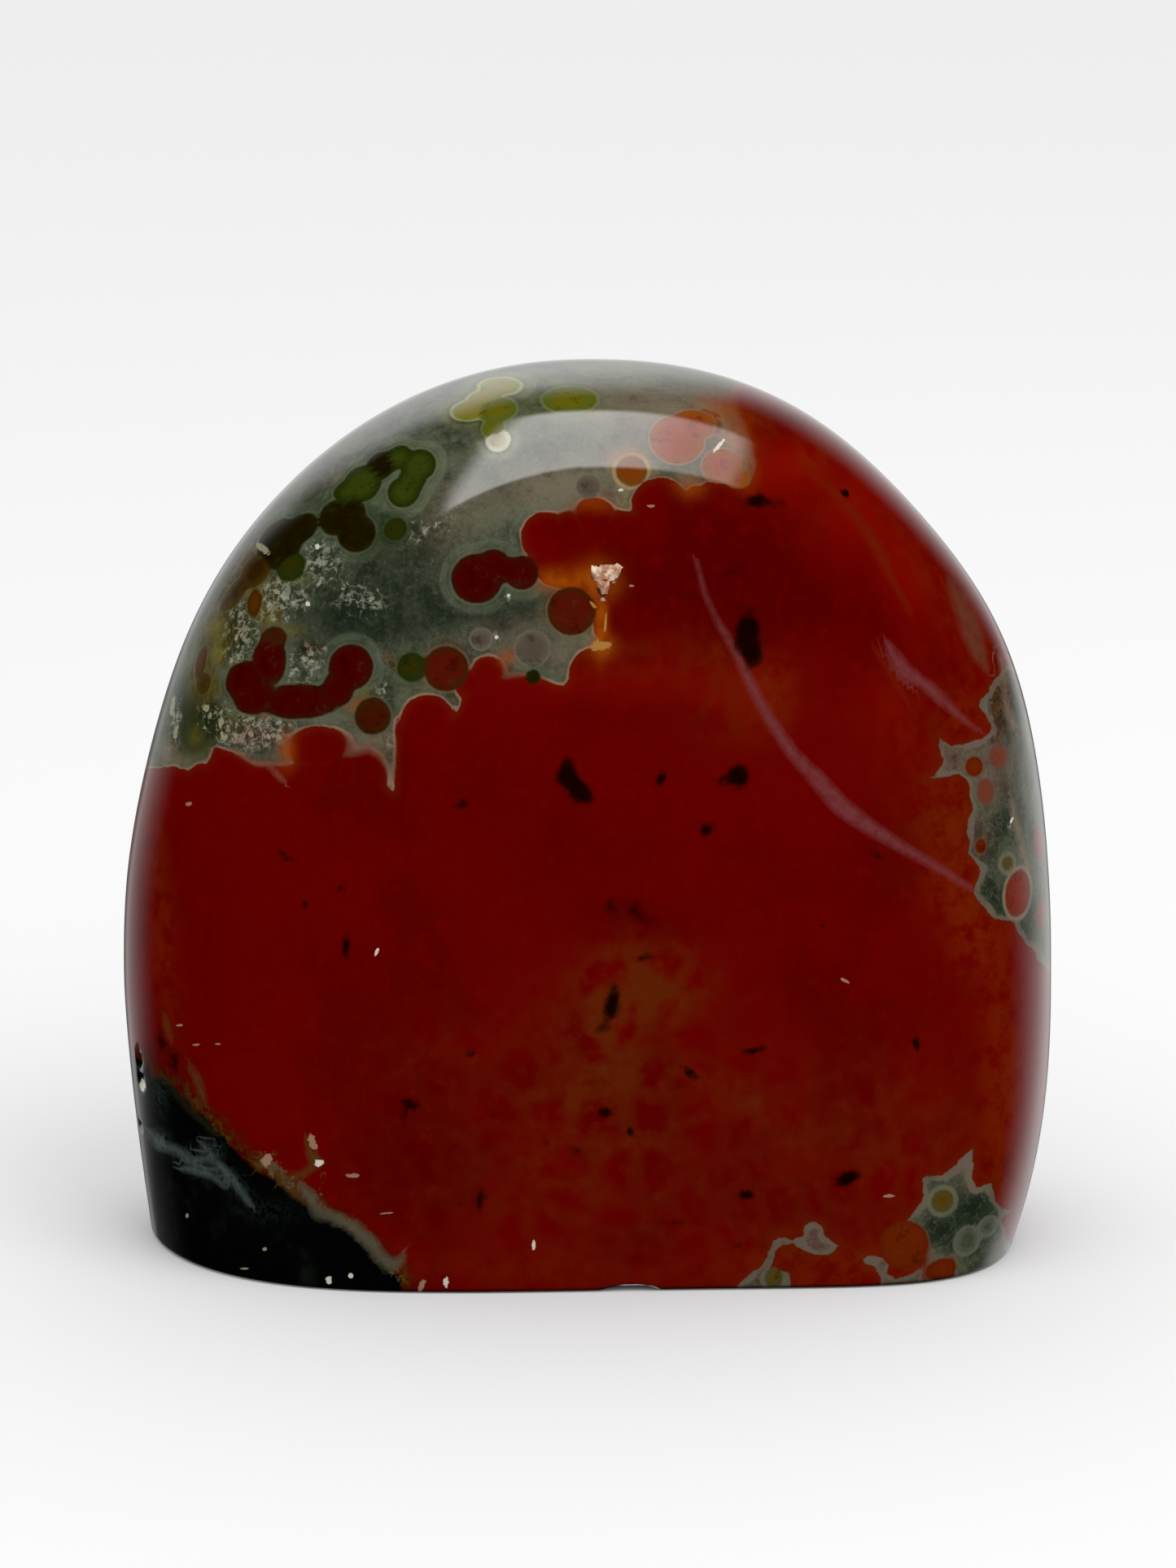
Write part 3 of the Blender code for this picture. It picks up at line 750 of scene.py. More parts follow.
# The soft patches of each tone: pixel across, pixel down, half width and half height in mm, then
# strength and turn in degrees where they aren't 1 and 0.
CLOUDS: dict[str, tuple[tuple[float, ...], ...]] = {
    "dark": (
        (919, 782, 0.95, 2, 1.3, 8), (926, 808, 0.5, 0.8, 0.9, -20), (697, 948, 0.7, 1, 1.2),
        (711, 970, 0.75, 1.5, 1.4, 40), (907, 953, 1, 0.8, 1.2, -35), (893, 959, 1, 0.4, 0.7, -15),
        (196, 1286, 1.8, 1.6, 0.4), (215, 1306, 1.2, 1, 0.35), (812, 957, 0.5, 0.7, 0.9, -25),
        (868, 1020, 0.8, 0.55, 0.9), (770, 1118, 3, 1.2, 0.45, -15), (752, 1235, 0.55, 1.9, 0.9, -8),
        (742, 1262, 0.7, 0.8, 0.6, -30), (933, 616, 1.9, 0.6, 0.8, -5), (905, 700, 1.3, 1, 0.35),
        (1038, 606, 0.35, 0.35, 1.2), (425, 1165, 0.35, 1.1, 0.8, 5), (420, 1090, 0.5, 0.5, 0.6),
        (350, 1050, 0.9, 0.35, 0.6, -30), (375, 1112, 0.35, 0.35, 0.6), (568, 988, 0.7, 0.6, 0.7),
        (930, 1290, 1, 0.35, 0.9, 12), (848, 1318, 1.4, 0.4, 0.8, -35), (1040, 1448, 0.95, 0.55, 1.3, 15),
        (920, 1468, 0.8, 0.45), (590, 1475, 0.5, 1, 0.7), (503, 1356, 0.9, 0.35, 0.8, -35),
        (496, 1372, 0.35, 0.8, 0.6), (524, 1390, 0.4, 0.4, 0.5), (745, 1368, 0.8, 0.45, 0.7, -25),
        (775, 1390, 0.35, 0.45, 0.8), (1125, 1282, 0.35, 0.9, 0.8), (1075, 1052, 0.6, 0.35, 0.6, -20),
        (566, 1478, 0.4, 0.4, 0.4), (300, 1292, 2.6, 0.35, 0.4, 6), (580, 1294, 0.5, 0.5, 0.6),
        (1010, 1138, 0.5, 0.3, 0.5, -40), (793, 1176, 1.2, 0.4, 0.5, -10), (820, 1502, 1.6, 0.5, 0.4, -8),
        (900, 1528, 1.2, 0.4, 0.4, -20), (700, 1412, 2.4, 0.6, 0.3, -12), (620, 1360, 1.6, 0.7, 0.3, 20),
    ),
    "deep": (
        (880, 700, 8, 5, 0.8), (1010, 730, 5, 3.5, 0.6), (760, 680, 3, 3.5, 0.6),
        (690, 1060, 7, 5, 0.35, -30), (790, 1135, 4.2, 2, 0.8, -8), (250, 1150, 3, 9, 0.3),
        (1040, 1250, 9, 5, 0.1, 20), (500, 1420, 5, 5, 0.3), (590, 960, 3.5, 3, 0.4),
        (1150, 1230, 3, 5, 0.3),
    ),
    "seam": (
        (345, 1440, 1, 1.4, 0.75), (385, 1470, 1.4, 1.4, 0.95), (405, 1494, 1.2, 0.9, 0.8),
        (430, 1508, 1.4, 1, 0.75), (452, 1528, 1.2, 1, 0.75), (470, 1550, 1.1, 1.2, 0.75),
        (486, 1568, 1, 1.2, 0.8), (240, 1325, 0.8, 2.2, 0.5), (385, 1412, 0.7, 1.5, 0.85, 10),
        (270, 1385, 2, 2, 0.35), (330, 1432, 1.4, 1.4, 0.8), (360, 1455, 1.6, 1, 0.8),
    ),
    "teal": (
        (196, 1402, 1.1, 0.8), (226, 1418, 1.6, 0.5, 0.6), (245, 1437, 1.2, 0.6, 0.7),
        (262, 1414, 0.8, 0.7, 0.5), (285, 1450, 1.8, 0.6, 0.6, -45), (196, 1345, 1, 1.8, 0.25),
        (330, 1490, 3, 1.2, 0.1),
    ),
    "haze": (
        (795, 1210, 4.4, 3.2), (748, 1245, 2.6, 3.2, 0.8), (745, 1340, 6, 6.5, 0.5),
        (640, 1380, 12, 9, 0.16), (1000, 1400, 14, 8, 0.2), (930, 1360, 5, 1.2, 0.45, -38),
        (800, 1500, 22, 6, 0.18), (1130, 1400, 6, 6, 0.2), (560, 1300, 7, 3, 0.12),
        (1030, 620, 1.2, 4.2, 0.15, -42), (1150, 1030, 3.4, 4, 0.3), (905, 860, 4, 3.4, 0.35),
        (760, 800, 6, 1.2, 0.2),
    ),
    "ember": (
        (1232, 1330, 2, 14, 0.75), (1180, 1100, 2.6, 3.2, 0.7), (1180, 990, 3, 3.2, 0.5),
        (1160, 1530, 6, 2.6, 0.75), (1050, 1560, 8, 2, 0.65), (960, 1545, 4, 2.4, 0.4),
        (1130, 900, 5, 6, 0.25), (1150, 700, 2.6, 6.5, 0.35, 30), (1195, 760, 2.2, 4.6, 0.4, 22),
        (196, 1120, 1.4, 12, 0.55, 4), (700, 1560, 16, 1.8, 0.3), (880, 800, 3.4, 1.6, 0.3, -20),
        (1000, 560, 5, 3.6, 0.2, 35), (920, 516, 2.8, 1.8, 0.55), (1180, 1030, 3.4, 4, 0.6),
        (1100, 640, 3.4, 5, 0.15, 30), (1040, 520, 4, 3, 0.3, 35), (1200, 1150, 2.6, 3.6, 0.7),
        (1190, 880, 2.4, 3.4, 0.5), (945, 858, 2.2, 2.8, 0.75, -20), (1000, 560, 2.6, 1.6, 0.5, 35),
        (790, 820, 7, 1.6, 0.3),
    ),
    "glow": (
        (970, 570, 4.5, 2.6, 0.9, 20), (1050, 620, 4.5, 3.4, 0.7, 50), (1110, 700, 2.4, 5, 0.6, 20),
        (760, 840, 8, 2, 0.4), (900, 850, 4, 2, 0.5), (1100, 870, 3, 3, 0.3),
    ),
    "amber": (
        (692, 713, 2.2, 0.85, 1.1), (735, 714, 1.5, 1.4, 1.2), (739, 765, 0.5, 2.4, 1.2),
        (742, 795, 1, 0.8), (623, 808, 0.7, 0.6, 0.7), (352, 921, 0.75, 1.5, 0.7),
        (858, 520, 1.8, 0.8, 0.9, 12), (886, 500, 2.2, 1.4, 0.55, -20), (905, 540, 1.4, 2.2, 0.5, 20),
        (915, 580, 1, 1.6, 0.4), (848, 598, 1.2, 0.9, 0.6), (730, 618, 1.6, 0.7, 0.5),
        (770, 562, 1.5, 0.8, 0.5), (438, 866, 1.1, 0.7, 0.45), (325, 868, 0.5, 0.9, 0.4),
    ),
    "umber": (
        (300, 690, 1, 2.4, 0.9, -35), (275, 745, 1.2, 2.6, 0.9, -30), (262, 790, 1.4, 3, 0.8, -20),
        (250, 830, 1.4, 2.2, 0.9, -12), (330, 650, 1.6, 1.6, 0.8, -40), (350, 700, 1.6, 1, 0.6),
        (400, 610, 2.2, 2.6, 0.5, -40), (325, 770, 0.8, 1.6, 0.5), (500, 820, 1.6, 1, 0.7),
        (470, 800, 1.2, 1, 0.3), (870, 520, 2, 1.4, 0.6), (1235, 845, 1.6, 2.8, 0.8),
        (1200, 1010, 1, 1.6, 0.6), (1130, 1530, 1, 1, 0.4), (1226, 880, 1.2, 3.4, 0.9),
        (247, 818, 0.8, 2.2, 0.8, -10), (283, 770, 1.6, 3, 0.8, 10), (330, 745, 1.4, 2.2, 0.8),
        (345, 775, 2, 0.9, 0.8), (290, 880, 3, 1.4, 0.75, 10), (262, 850, 1.6, 2, 0.8),
        (365, 905, 1.6, 0.9, 0.6), (380, 800, 1.4, 1, 0.5), (450, 860, 1, 1.2, 0.6),
        (420, 575, 3, 1.8, 0.6, -40), (470, 540, 2, 1.4, 0.4, -30), (212, 925, 1, 1.4, 0.4),
    ),
    "yellow": (
        (268, 770, 1.3, 1.1), (268, 803, 0.85, 1), (332, 757, 0.8, 0.9), (318, 722, 1.6, 0.9, 0.5),
        (362, 712, 1.2, 0.6, 0.7), (292, 885, 1.6, 1, 0.4), (246, 835, 0.9, 0.7, 0.6),
        (240, 905, 0.7, 0.9, 0.5), (352, 775, 1.4, 0.5, 0.6), (300, 872, 1.6, 0.6, 0.7, 20),
        (258, 845, 1.4, 1.2, 0.5), (285, 800, 1.2, 2.2, 0.35), (448, 852, 0.7, 0.9, 0.5),
        (614, 474, 1.2, 0.8, 0.6),
    ),
    "soft": (
        (905, 470, 1.6, 4.5, 0.9), (900, 510, 1.6, 3, 0.9), (915, 550, 1.4, 2.6, 0.6),
        (345, 918, 1.2, 1.2, 0.35), (440, 930, 2.4, 1.6, 0.6), (326, 930, 1.6, 0.8, 0.6),
        (720, 640, 1.6, 1, 0.5), (620, 830, 2.4, 1, 0.4), (1150, 1535, 2, 1.6, 0.4),
    ),
    "mauve": (
        (1000, 1524, 2.2, 1.8, 0.9), (955, 1530, 1.6, 0.8, 0.9), (925, 1565, 1.8, 1.6, 0.7),
        (1085, 1560, 2.6, 1.6, 0.9), (1125, 1565, 1.6, 1.2, 0.6), (1225, 940, 2.2, 3, 0.7),
        (1165, 930, 2, 1.6, 0.5), (1192, 1432, 0.9, 1.6, 0.4), (1203, 1030, 1.2, 2.6, 0.6),
        (460, 930, 2, 2.6, 0.5), (322, 903, 2.8, 1.3, 0.9), (640, 785, 3.6, 1.6, 0.35),
        (1165, 930, 1.8, 1.4, 0.8), (1005, 1525, 1.4, 1.4, 0.9),
    ),
    "murk": (
        (430, 755, 5, 2.4), (384, 800, 2, 1.6, 0.7), (258, 860, 1.6, 1.6, 0.6), (310, 900, 2.6, 1, 0.5),
        (470, 705, 4, 2.2, 0.6), (500, 765, 3.4, 3.2, 0.6), (590, 760, 3.6, 0.9, 0.9, -12),
        (470, 640, 3.4, 2.4, 0.6), (400, 620, 3, 3, 0.3), (1198, 1485, 3, 3.2), (1158, 1515, 2.2, 1.8),
        (1228, 1010, 0.7, 1.4, 0.8), (1215, 1095, 1.4, 2), (1235, 850, 2, 3.4),
        (1262, 1120, 1.4, 2.4, 0.8), (1256, 1145, 0.5, 0.9, 0.9), (925, 1576, 1, 0.6, 0.5),
        (800, 490, 4.6, 0.9, 0.25), (1172, 934, 0.6, 0.3, 1, 15), (640, 745, 3, 1.4, 0.8),
        (440, 865, 0.6, 0.6, 0.3),
    ),
    "druse": (
        (357, 746, 1.5, 1.1, 1, 20), (393, 683, 1.3, 1.6, 0.9), (432, 730, 2, 1.5, 0.7),
        (511, 654, 1.5, 1.3, 0.7, -30), (542, 646, 0.8, 0.7, 0.7), (371, 822, 1.5, 1.6, 0.95),
        (299, 775, 1.4, 2.2, 1, 20), (330, 740, 1, 1.6, 0.8), (470, 850, 1.2, 1.2, 0.5),
        (300, 905, 2.6, 1.4, 0.9), (338, 896, 1.7, 1), (214, 890, 0.7, 2.2, 0.9),
        (430, 575, 1.8, 0.7, 0.5, -35), (625, 735, 0.7, 0.6, 0.6), (610, 783, 0.5, 0.5, 0.6),
        (480, 912, 1, 1.2, 0.4), (390, 560, 1.2, 4, 0.3, 48), (1243, 1010, 0.6, 0.8, 0.6),
        (560, 630, 1, 0.8, 0.4), (262, 880, 1.6, 1.6, 0.7), (285, 745, 1.4, 2, 0.9, 20),
        (350, 725, 1.8, 1.4, 0.9), (384, 808, 1.6, 1.4, 0.5), (290, 800, 1.2, 2, 0.9), (310, 888, 3, 1.2),
        (400, 690, 1.4, 1.6, 0.8), (455, 745, 1.6, 1.2, 0.6),
    ),
    "moss": (
        (240, 888, 1.9, 2.6, 2), (234, 866, 1.4, 1.2, 1.4), (264, 900, 1.2, 1.2, 0.9),
        (462, 662, 1.8, 1.4, 0.7), (440, 620, 2.2, 2.2, 0.5), (300, 752, 0.8, 1.6, 0.3, 20),
        (350, 708, 1.4, 0.8, 0.6), (500, 680, 2.2, 1, 0.3), (262, 790, 1.8, 2.4, 0.6),
    ),
    "pale": (
        (457, 914, 1.7, 1.3, 0.9), (475, 960, 0.6, 0.8, 0.7), (209, 921, 0.9, 1.4),
        (225, 934, 1.2, 0.8, 0.7), (302, 902, 1.6, 1.1, 0.85), (384, 815, 1.2, 0.7, 0.3),
        (395, 884, 1.8, 0.4, 0.6), (640, 785, 3.6, 1.8, 0.12), (690, 812, 1.6, 1.6, 0.45),
        (735, 795, 0.8, 0.5), (900, 545, 1.6, 1.6, 0.7), (1210, 948, 2, 2.2, 0.5),
        (1170, 932, 1.6, 1.4, 0.5), (1003, 1525, 1.6, 1.6, 0.7), (1078, 1560, 1.6, 1, 0.5),
        (1192, 1435, 0.8, 1.6, 0.6), (690, 595, 6.5, 2.4, 0.75, 8), (800, 500, 7, 2.6, 0.8, -8),
        (560, 640, 3, 3, 0.35, 20), (1150, 1556, 0.6, 1, 0.8), (1215, 880, 1.2, 2.2, 0.3),
    ),
}


# The soft tones that go on round the back: the seed and length in mm of each one's uneven field.
BACK_WAVES: dict[str, tuple[int, float]] = {
    "deep": (27, 24.0), "haze": (21, 16.0), "ember": (22, 20.0), "umber": (28, 13.0), "murk": (23, 11.0),
    "druse": (24, 9.0), "moss": (25, 12.0), "pale": (26, 10.0),
}

# The crisp flecks along the corner's seam and elsewhere: pixel across, pixel down, half width and half
# height in mm, and turn in degrees where it isn't 0.
FLECKS = (
    FleckSet("pale", tint(142, 112, 92), (
        (268, 1283, 0.25, 0.07), (241, 1284, 0.3, 0.09, 8), (221, 1260, 0.34, 0.09, 10),
        (328, 1426, 0.45, 0.6, -20), (475, 1491, 0.6, 0.07, 6), (518, 1580, 0.22, 0.5, -25),
        (434, 1445, 0.55, 0.18), (232, 988, 0.25, 0.16), (1038, 1205, 0.4, 0.12, -30),
        (800, 622, 0.3, 0.12), (384, 1404, 0.3, 0.75, 18), (776, 720, 0.2, 0.1), (1085, 1584, 0.5, 0.3),
        (1092, 1470, 0.5, 0.14),
    )),
    FleckSet("cream", tint(140, 136, 108), (
        (300, 1559, 0.4, 0.08, 5), (325, 1535, 0.18, 0.14), (323, 674, 0.8, 0.28, -38),
        (212, 868, 0.22, 0.8, -10), (216, 899, 0.2, 0.6, -8), (253, 870, 0.3, 0.3), (272, 888, 0.25, 0.4),
        (276, 906, 0.3, 0.25), (230, 1494, 0.14, 0.2),
    )),
    # The glints are painted highlights: small near-white spots put into the stone's colour.
    FleckSet("painted_glints", tint(206, 200, 184), (
        (392, 1428, 0.34, 0.42, -20), (404, 1573, 0.22, 0.34), (431, 1568, 0.2, 0.22),
        (463, 1170, 0.13, 0.32, -20), (656, 1530, 0.15, 0.42), (548, 1576, 0.22, 0.42),
        (625, 732, 0.12, 0.14), (610, 783, 0.16, 0.14), (884, 547, 0.16, 0.75, -40), (175, 1334, 0.3, 0.5),
        (390, 672, 0.2, 0.22), (378, 742, 0.22, 0.22), (763, 602, 0.2, 0.12), (1243, 1008, 0.1, 0.3, -30),
    )),
    FleckSet("gold", tint(160, 116, 54), (
        (738, 793, 0.75, 0.42, 15), (744, 766, 0.1, 0.8, -6), (729, 744, 0.4, 0.12, -50),
    )),
)


def beside(u: np.ndarray, v: np.ndarray, start: Spot, end: Spot) -> tuple[np.ndarray, ...]:
    """Where places lie beside a straight line from start to end.

    Args:
        u: places across.
        v: places down.
        start: the line's first end.
        end: its last end.

    Returns:
        The share of the line at which each place's nearest point is, and how far the place is from
        that point across and down.
    """
    du, dv = end[0] - start[0], end[1] - start[1]
    share = np.clip(((u - start[0]) * du + (v - start[1]) * dv) / (du * du + dv * dv), 0.0, 1.0)
    return share, u - start[0] - share * du, v - start[1] - share * dv


def polygon_distance(u: np.ndarray, v: np.ndarray, outline: tuple[Spot, ...]) -> np.ndarray:
    """Distance to a closed outline in its own units, below 0 inside it.

    The distance is the least one to any side. A point is inside where a level line from it crosses
    the sides an odd number of times.

    Args:
        u: places across.
        v: places down.
        outline: corners in order.

    Returns:
        One signed distance for each place.
    """
    least = np.full(u.shape, np.inf)
    inside = np.zeros(u.shape, bool)
    for start, end in zip(outline, outline[1:] + outline[:1]):
        _, away_u, away_v = beside(u, v, start, end)
        least = np.minimum(least, np.hypot(away_u, away_v))
        if start[1] != end[1]:
            crossing = start[0] + (v - start[1]) * (end[0] - start[0]) / (end[1] - start[1])
            inside ^= ((start[1] > v) != (end[1] > v)) & (u < crossing)
    return np.where(inside, -least, least)


@dataclass
class Pattern:
    """Works out, for every vertex, how far it lies from each feature of the stone."""

    form: StoneForm
    sight: Sight
    pixels_per_mm: float = 15.0
    drift: float = 5.5
    drift_start: float = -4.0
    depth_share: float = 0.42
    back_orbs: int = 90
    back_lobes: int = 130
    seed: int = 11
    fields: dict[str, np.ndarray] = field(default_factory=dict)

    def frames(self, marks: Sequence[Orb | Cloud | Fleck]) -> tuple[np.ndarray, np.ndarray]:
        """The places of marks on the skin, and the 2 x 2 turns into their own axes."""
        places = self.form.under(self.sight, np.array([m.u for m in marks]), np.array([m.v for m in marks]))
        angles = np.radians([m.turn for m in marks])
        turns = np.stack([np.cos(angles), np.sin(angles), -np.sin(angles), np.cos(angles)], axis=-1)
        return places, turns.reshape(-1, 2, 2)

    def reach(self, points: np.ndarray, place: np.ndarray, turn: np.ndarray, mark: Orb | Cloud) -> np.ndarray:
        """Distance from a mark, divided by its wide and tall after its turn in the camera's view.

        Depth counts for less, because the orbs are long in that direction where the skin slopes.

        Args:
            points: places in millimetres, one row each.
            place: the mark's middle.
            turn: the 2 x 2 turn into the mark's own axes.
            mark: the orb or soft patch, for its sizes.

        Returns:
            One distance for each point.
        """
        _, forward, right, up = self.sight.axes()
        away = points - place
        flat = np.stack([away @ right, away @ up], axis=-1) @ turn.T
        deep = (away @ forward) * self.depth_share
        square = (flat[:, 0] / mark.wide) ** 2 + (flat[:, 1] / mark.tall) ** 2
        return np.sqrt(square + deep**2 / (mark.wide * mark.tall))

    def drifted(self, points: np.ndarray) -> tuple[np.ndarray, np.ndarray]:
        """Picture places of points, wandering more and more towards the back of the stone."""
        depth = ease(self.drift_start, 0.5 * self.form.depth, points[:, 1]) * self.drift * self.pixels_per_mm
        u, v = self.sight.picture(points)
        return u + depth * Ripple(3, 30.0).at(points), v + depth * Ripple(4, 26.0).at(points)

    def zone_fields(self, points: np.ndarray) -> None:
        """Distances to the red mass and to the black corner, and where the low patches are.

        Args:
            points: places in millimetres, one row each.
        """
        u, v = self.drifted(points)
        grey = np.full(len(points), np.inf)
        for zone in ZONES:
            grey = np.minimum(grey, polygon_distance(u, v, zone.outline) / self.pixels_per_mm)
        mass = -grey
        for lobe, place, turn in zip(RED_SCALLOPS, *self.frames(RED_SCALLOPS)):
            mass = np.minimum(mass, self.reach(points, place, turn, lobe) - lobe.radius)
        islands = 4.0 * (1.35 - Ripple(8, 22.0).at(points)) + 14.0 * (1.0 - ease(2.0, 10.0, points[:, 1]))
        self.fields["body_edge"] = self.scalloped(points, np.maximum(mass, -islands))
        self.fields["corner_edge"] = polygon_distance(u, v, BLACK_CORNER.outline) / self.pixels_per_mm
        at_right = ease(24.0, 28.0, points[:, 0]) * (1.0 - ease(50.0, 56.0, points[:, 2]))
        self.fields["low"] = np.maximum(1.0 - ease(20.0, 26.0, points[:, 2]), at_right)

    def scalloped(self, points: np.ndarray, mass: np.ndarray) -> np.ndarray:
        """Add seeded round lobes of the red mass along its border on the sides, the top and the back."""
        draw = np.random.default_rng(self.seed + 1)
        border = np.flatnonzero((points[:, 1] > 4.0) & (np.abs(mass - 0.3) < 1.0) & (points[:, 2] > 1.0))
        for number in draw.choice(border, self.back_lobes, replace=False):
            radius = draw.uniform(0.9, 2.3)
            mass = np.minimum(mass, np.linalg.norm(points - points[number], axis=1) - radius)
        return mass

    def scattered(self, points: np.ndarray) -> list[tuple[np.ndarray, float, OrbKind]]:
        """Seeded clusters of orbs in the chalcedony of the back, the top and the sides.

        Args:
            points: places in millimetres, one row each.

        Returns:
            The place, radius and kind of each orb.
        """
        draw = np.random.default_rng(self.seed)
        kinds = (OrbKind.MAROON, OrbKind.BROWN, OrbKind.GREEN, OrbKind.OLIVE, OrbKind.RUST, OrbKind.ASH,
                 OrbKind.BARK, OrbKind.AMBER)
        shares = (0.27, 0.18, 0.18, 0.09, 0.08, 0.08, 0.09, 0.03)
        clear = (self.fields["body_edge"] > 0.9) & (points[:, 2] > 0.5)
        behind = np.flatnonzero((points[:, 1] > 3.0) & clear)
        made: list[tuple[np.ndarray, float, OrbKind]] = []
        for place in points[draw.choice(behind, self.back_orbs, replace=False)]:
            radius = float(draw.uniform(0.9, 2.2))
            kind = kinds[int(draw.choice(len(kinds), p=shares))]
            if any(np.linalg.norm(place - other) < radius + size + 0.9 for other, size, _ in made):
                continue
            group = [(place, radius, kind)]
            for _ in range(int(draw.integers(0, 4))):
                smaller = radius * float(draw.uniform(0.6, 0.95))
                near = points[behind][np.argmin(np.abs(
                    np.linalg.norm(points[behind] - place, axis=1) - 0.85 * (radius + smaller)
                ) + draw.uniform(0.0, 0.6, len(behind)))]
                group.append((near, smaller, kind))
            made += group
        return made

    def orb_fields(self, points: np.ndarray) -> None:
        """Distance to the nearest orb, with the colours and widths of that orb.

        Args:
            points: places in millimetres, one row each.
        """
        count = len(points)
        edge = np.full(count, 9.0)
        names = ("core", "ring", "line")
        tones = {name: np.tile(np.array(getattr(OrbKind.RED.value, name)[:3]), (count, 1)) for name in names}
        sizes = {
            "ring_width": np.full(count, 0.5),
            "line_width": np.full(count, 0.22),
            "glow": np.zeros(count),
        }
        placed: list[tuple[np.ndarray, OrbKind]] = []
        drawn = PALE_ORBS + BARK_ORBS + GREEN_ORBS + DARK_ORBS + RIM_ORBS
        places, turns = self.frames(drawn)
        for orb, place, turn in zip(drawn, places, turns):
            shape = self.reach(points, place, turn, orb)
            placed.append(((shape - orb.radius) * min(1.0, orb.wide, orb.tall) ** 0.5, orb.kind))
        for place, radius, kind in self.scattered(points):
            placed.append((np.linalg.norm(points - place, axis=1) - radius, kind))
        for distance, kind in placed:
            nearer = distance < edge
            edge = np.where(nearer, distance, edge)
            for name in names:
                tones[name][nearer] = getattr(kind.value, name)[:3]
            for name, values in sizes.items():
                values[nearer] = getattr(kind.value, name)
        self.fields["orb_edge"] = edge
        self.fields.update({"orb_" + name: values for name, values in (tones | sizes).items()})

    def vein_fields(self, points: np.ndarray) -> None:
        """Signed distance across the nearest vein, and its half width, which is below 0 away from it.

        The sign tells the sides apart, so that a vein stays thin between vertices.

        Args:
            points: places in millimetres, one row each.
        """
        u, v = self.drifted(points)
        best = np.full(len(points), np.inf)
        offset = np.full(len(points), 5.0)
        half = np.full(len(points), -1.0)
        colour = np.tile(np.array(MAUVE[:3]), (len(points), 1))
        front = points[:, 1] < 6.0
        for vein in VEINS:
            for (u0, v0, w0), (u1, v1, w1) in zip(vein.route, vein.route[1:]):
                share, away_u, away_v = beside(u, v, (u0, v0), (u1, v1))
                distance = np.hypot(away_u, away_v) / self.pixels_per_mm
                width = 0.5 * (w0 + (w1 - w0) * share)
                nearer = (distance - width < best) & front
                side = np.where((u1 - u0) * away_v - (v1 - v0) * away_u < 0.0, -1.0, 1.0)
                best = np.where(nearer, distance - width, best)
                offset = np.where(nearer, side * distance, offset)
                half = np.where(nearer, width - np.clip(distance - width - 0.6, 0.0, 1.5), half)
                colour[nearer] = vein.colour[:3]
        self.fields["vein_offset"] = offset
        self.fields["vein_half"] = half
        self.fields["vein_colour"] = colour

    def fleck_fields(self, points: np.ndarray) -> None:
        """Each point's place beside its nearest fleck, in that fleck's half sizes, and its colour.

        The place changes evenly over a face, so the fleck's edge stays crisp between vertices. The
        third number is 1 near the fleck, and 0 away from it and halfway to another one.

        Args:
            points: places in millimetres, one row each.
        """
        nearest = np.full(len(points), np.inf)
        second = np.full(len(points), np.inf)
        local = np.zeros((len(points), 3))
        colour = np.tile(np.array(FLECKS[0].colour[:3]), (len(points), 1))
        _, _, right, up = self.sight.axes()
        for kind in FLECKS:
            flecks = [Fleck(*row) for row in kind.rows]
            for fleck, place, turn in zip(flecks, *self.frames(flecks)):
                away = points - place
                flat = (np.stack([away @ right, away @ up], axis=-1) @ turn.T) / (fleck.wide, fleck.tall)
                distance = np.linalg.norm(away, axis=1) - max(fleck.wide, fleck.tall)
                nearer = distance < nearest
                second = np.where(nearer, nearest, np.minimum(second, distance))
                nearest = np.where(nearer, distance, nearest)
                local[nearer, :2] = flat[nearer]
                colour[nearer] = kind.colour[:3]
        local[:, 2] = (nearest < 0.9) & (second - nearest > 0.45)
        self.fields["fleck"] = local
        self.fields["fleck_colour"] = colour

    def cloud_fields(self, points: np.ndarray) -> None:
        """Soft tones: 1 - product of (1 - strength times exp(-(distance in half sizes)^2)) for each kind.

        Args:
            points: places in millimetres, one row each.
        """
        for name, rows in CLOUDS.items():
            clouds = [Cloud(*row) for row in rows]
            places, turns = self.frames(clouds)
            clear = np.ones(len(points))
            for cloud, place, turn in zip(clouds, places, turns):
                shape = self.reach(points, place, turn, cloud)
                clear *= 1.0 - np.clip(cloud.strength * np.exp(-(shape**2)), 0.0, 0.98)
            self.fields[name] = 1.0 - clear
        behind = ease(0.0, 9.0, points[:, 1])
        for name, (seed, length) in BACK_WAVES.items():
            wave = np.clip(Ripple(seed, length).at(points) - 0.55, 0.0, 1.0) * behind
            self.fields[name] = np.clip(self.fields[name] + 0.8 * wave, 0.0, 1.0)

    def lay_on(self, mesh: bpy.types.Mesh, points: np.ndarray) -> None:
        """Work out every field and store it on the mesh as an attribute of its vertices."""
        self.zone_fields(points)
        self.orb_fields(points)
        self.vein_fields(points)
        self.fleck_fields(points)
        self.cloud_fields(points)
        for name, values in self.fields.items():
            if values.ndim == 1:
                attribute = mesh.attributes.new(name, "FLOAT", "POINT")
                attribute.data.foreach_set("value", values.astype(np.float32))
            else:
                attribute = mesh.attributes.new(name, "FLOAT_VECTOR", "POINT")
                attribute.data.foreach_set("vector", values.astype(np.float32).ravel())


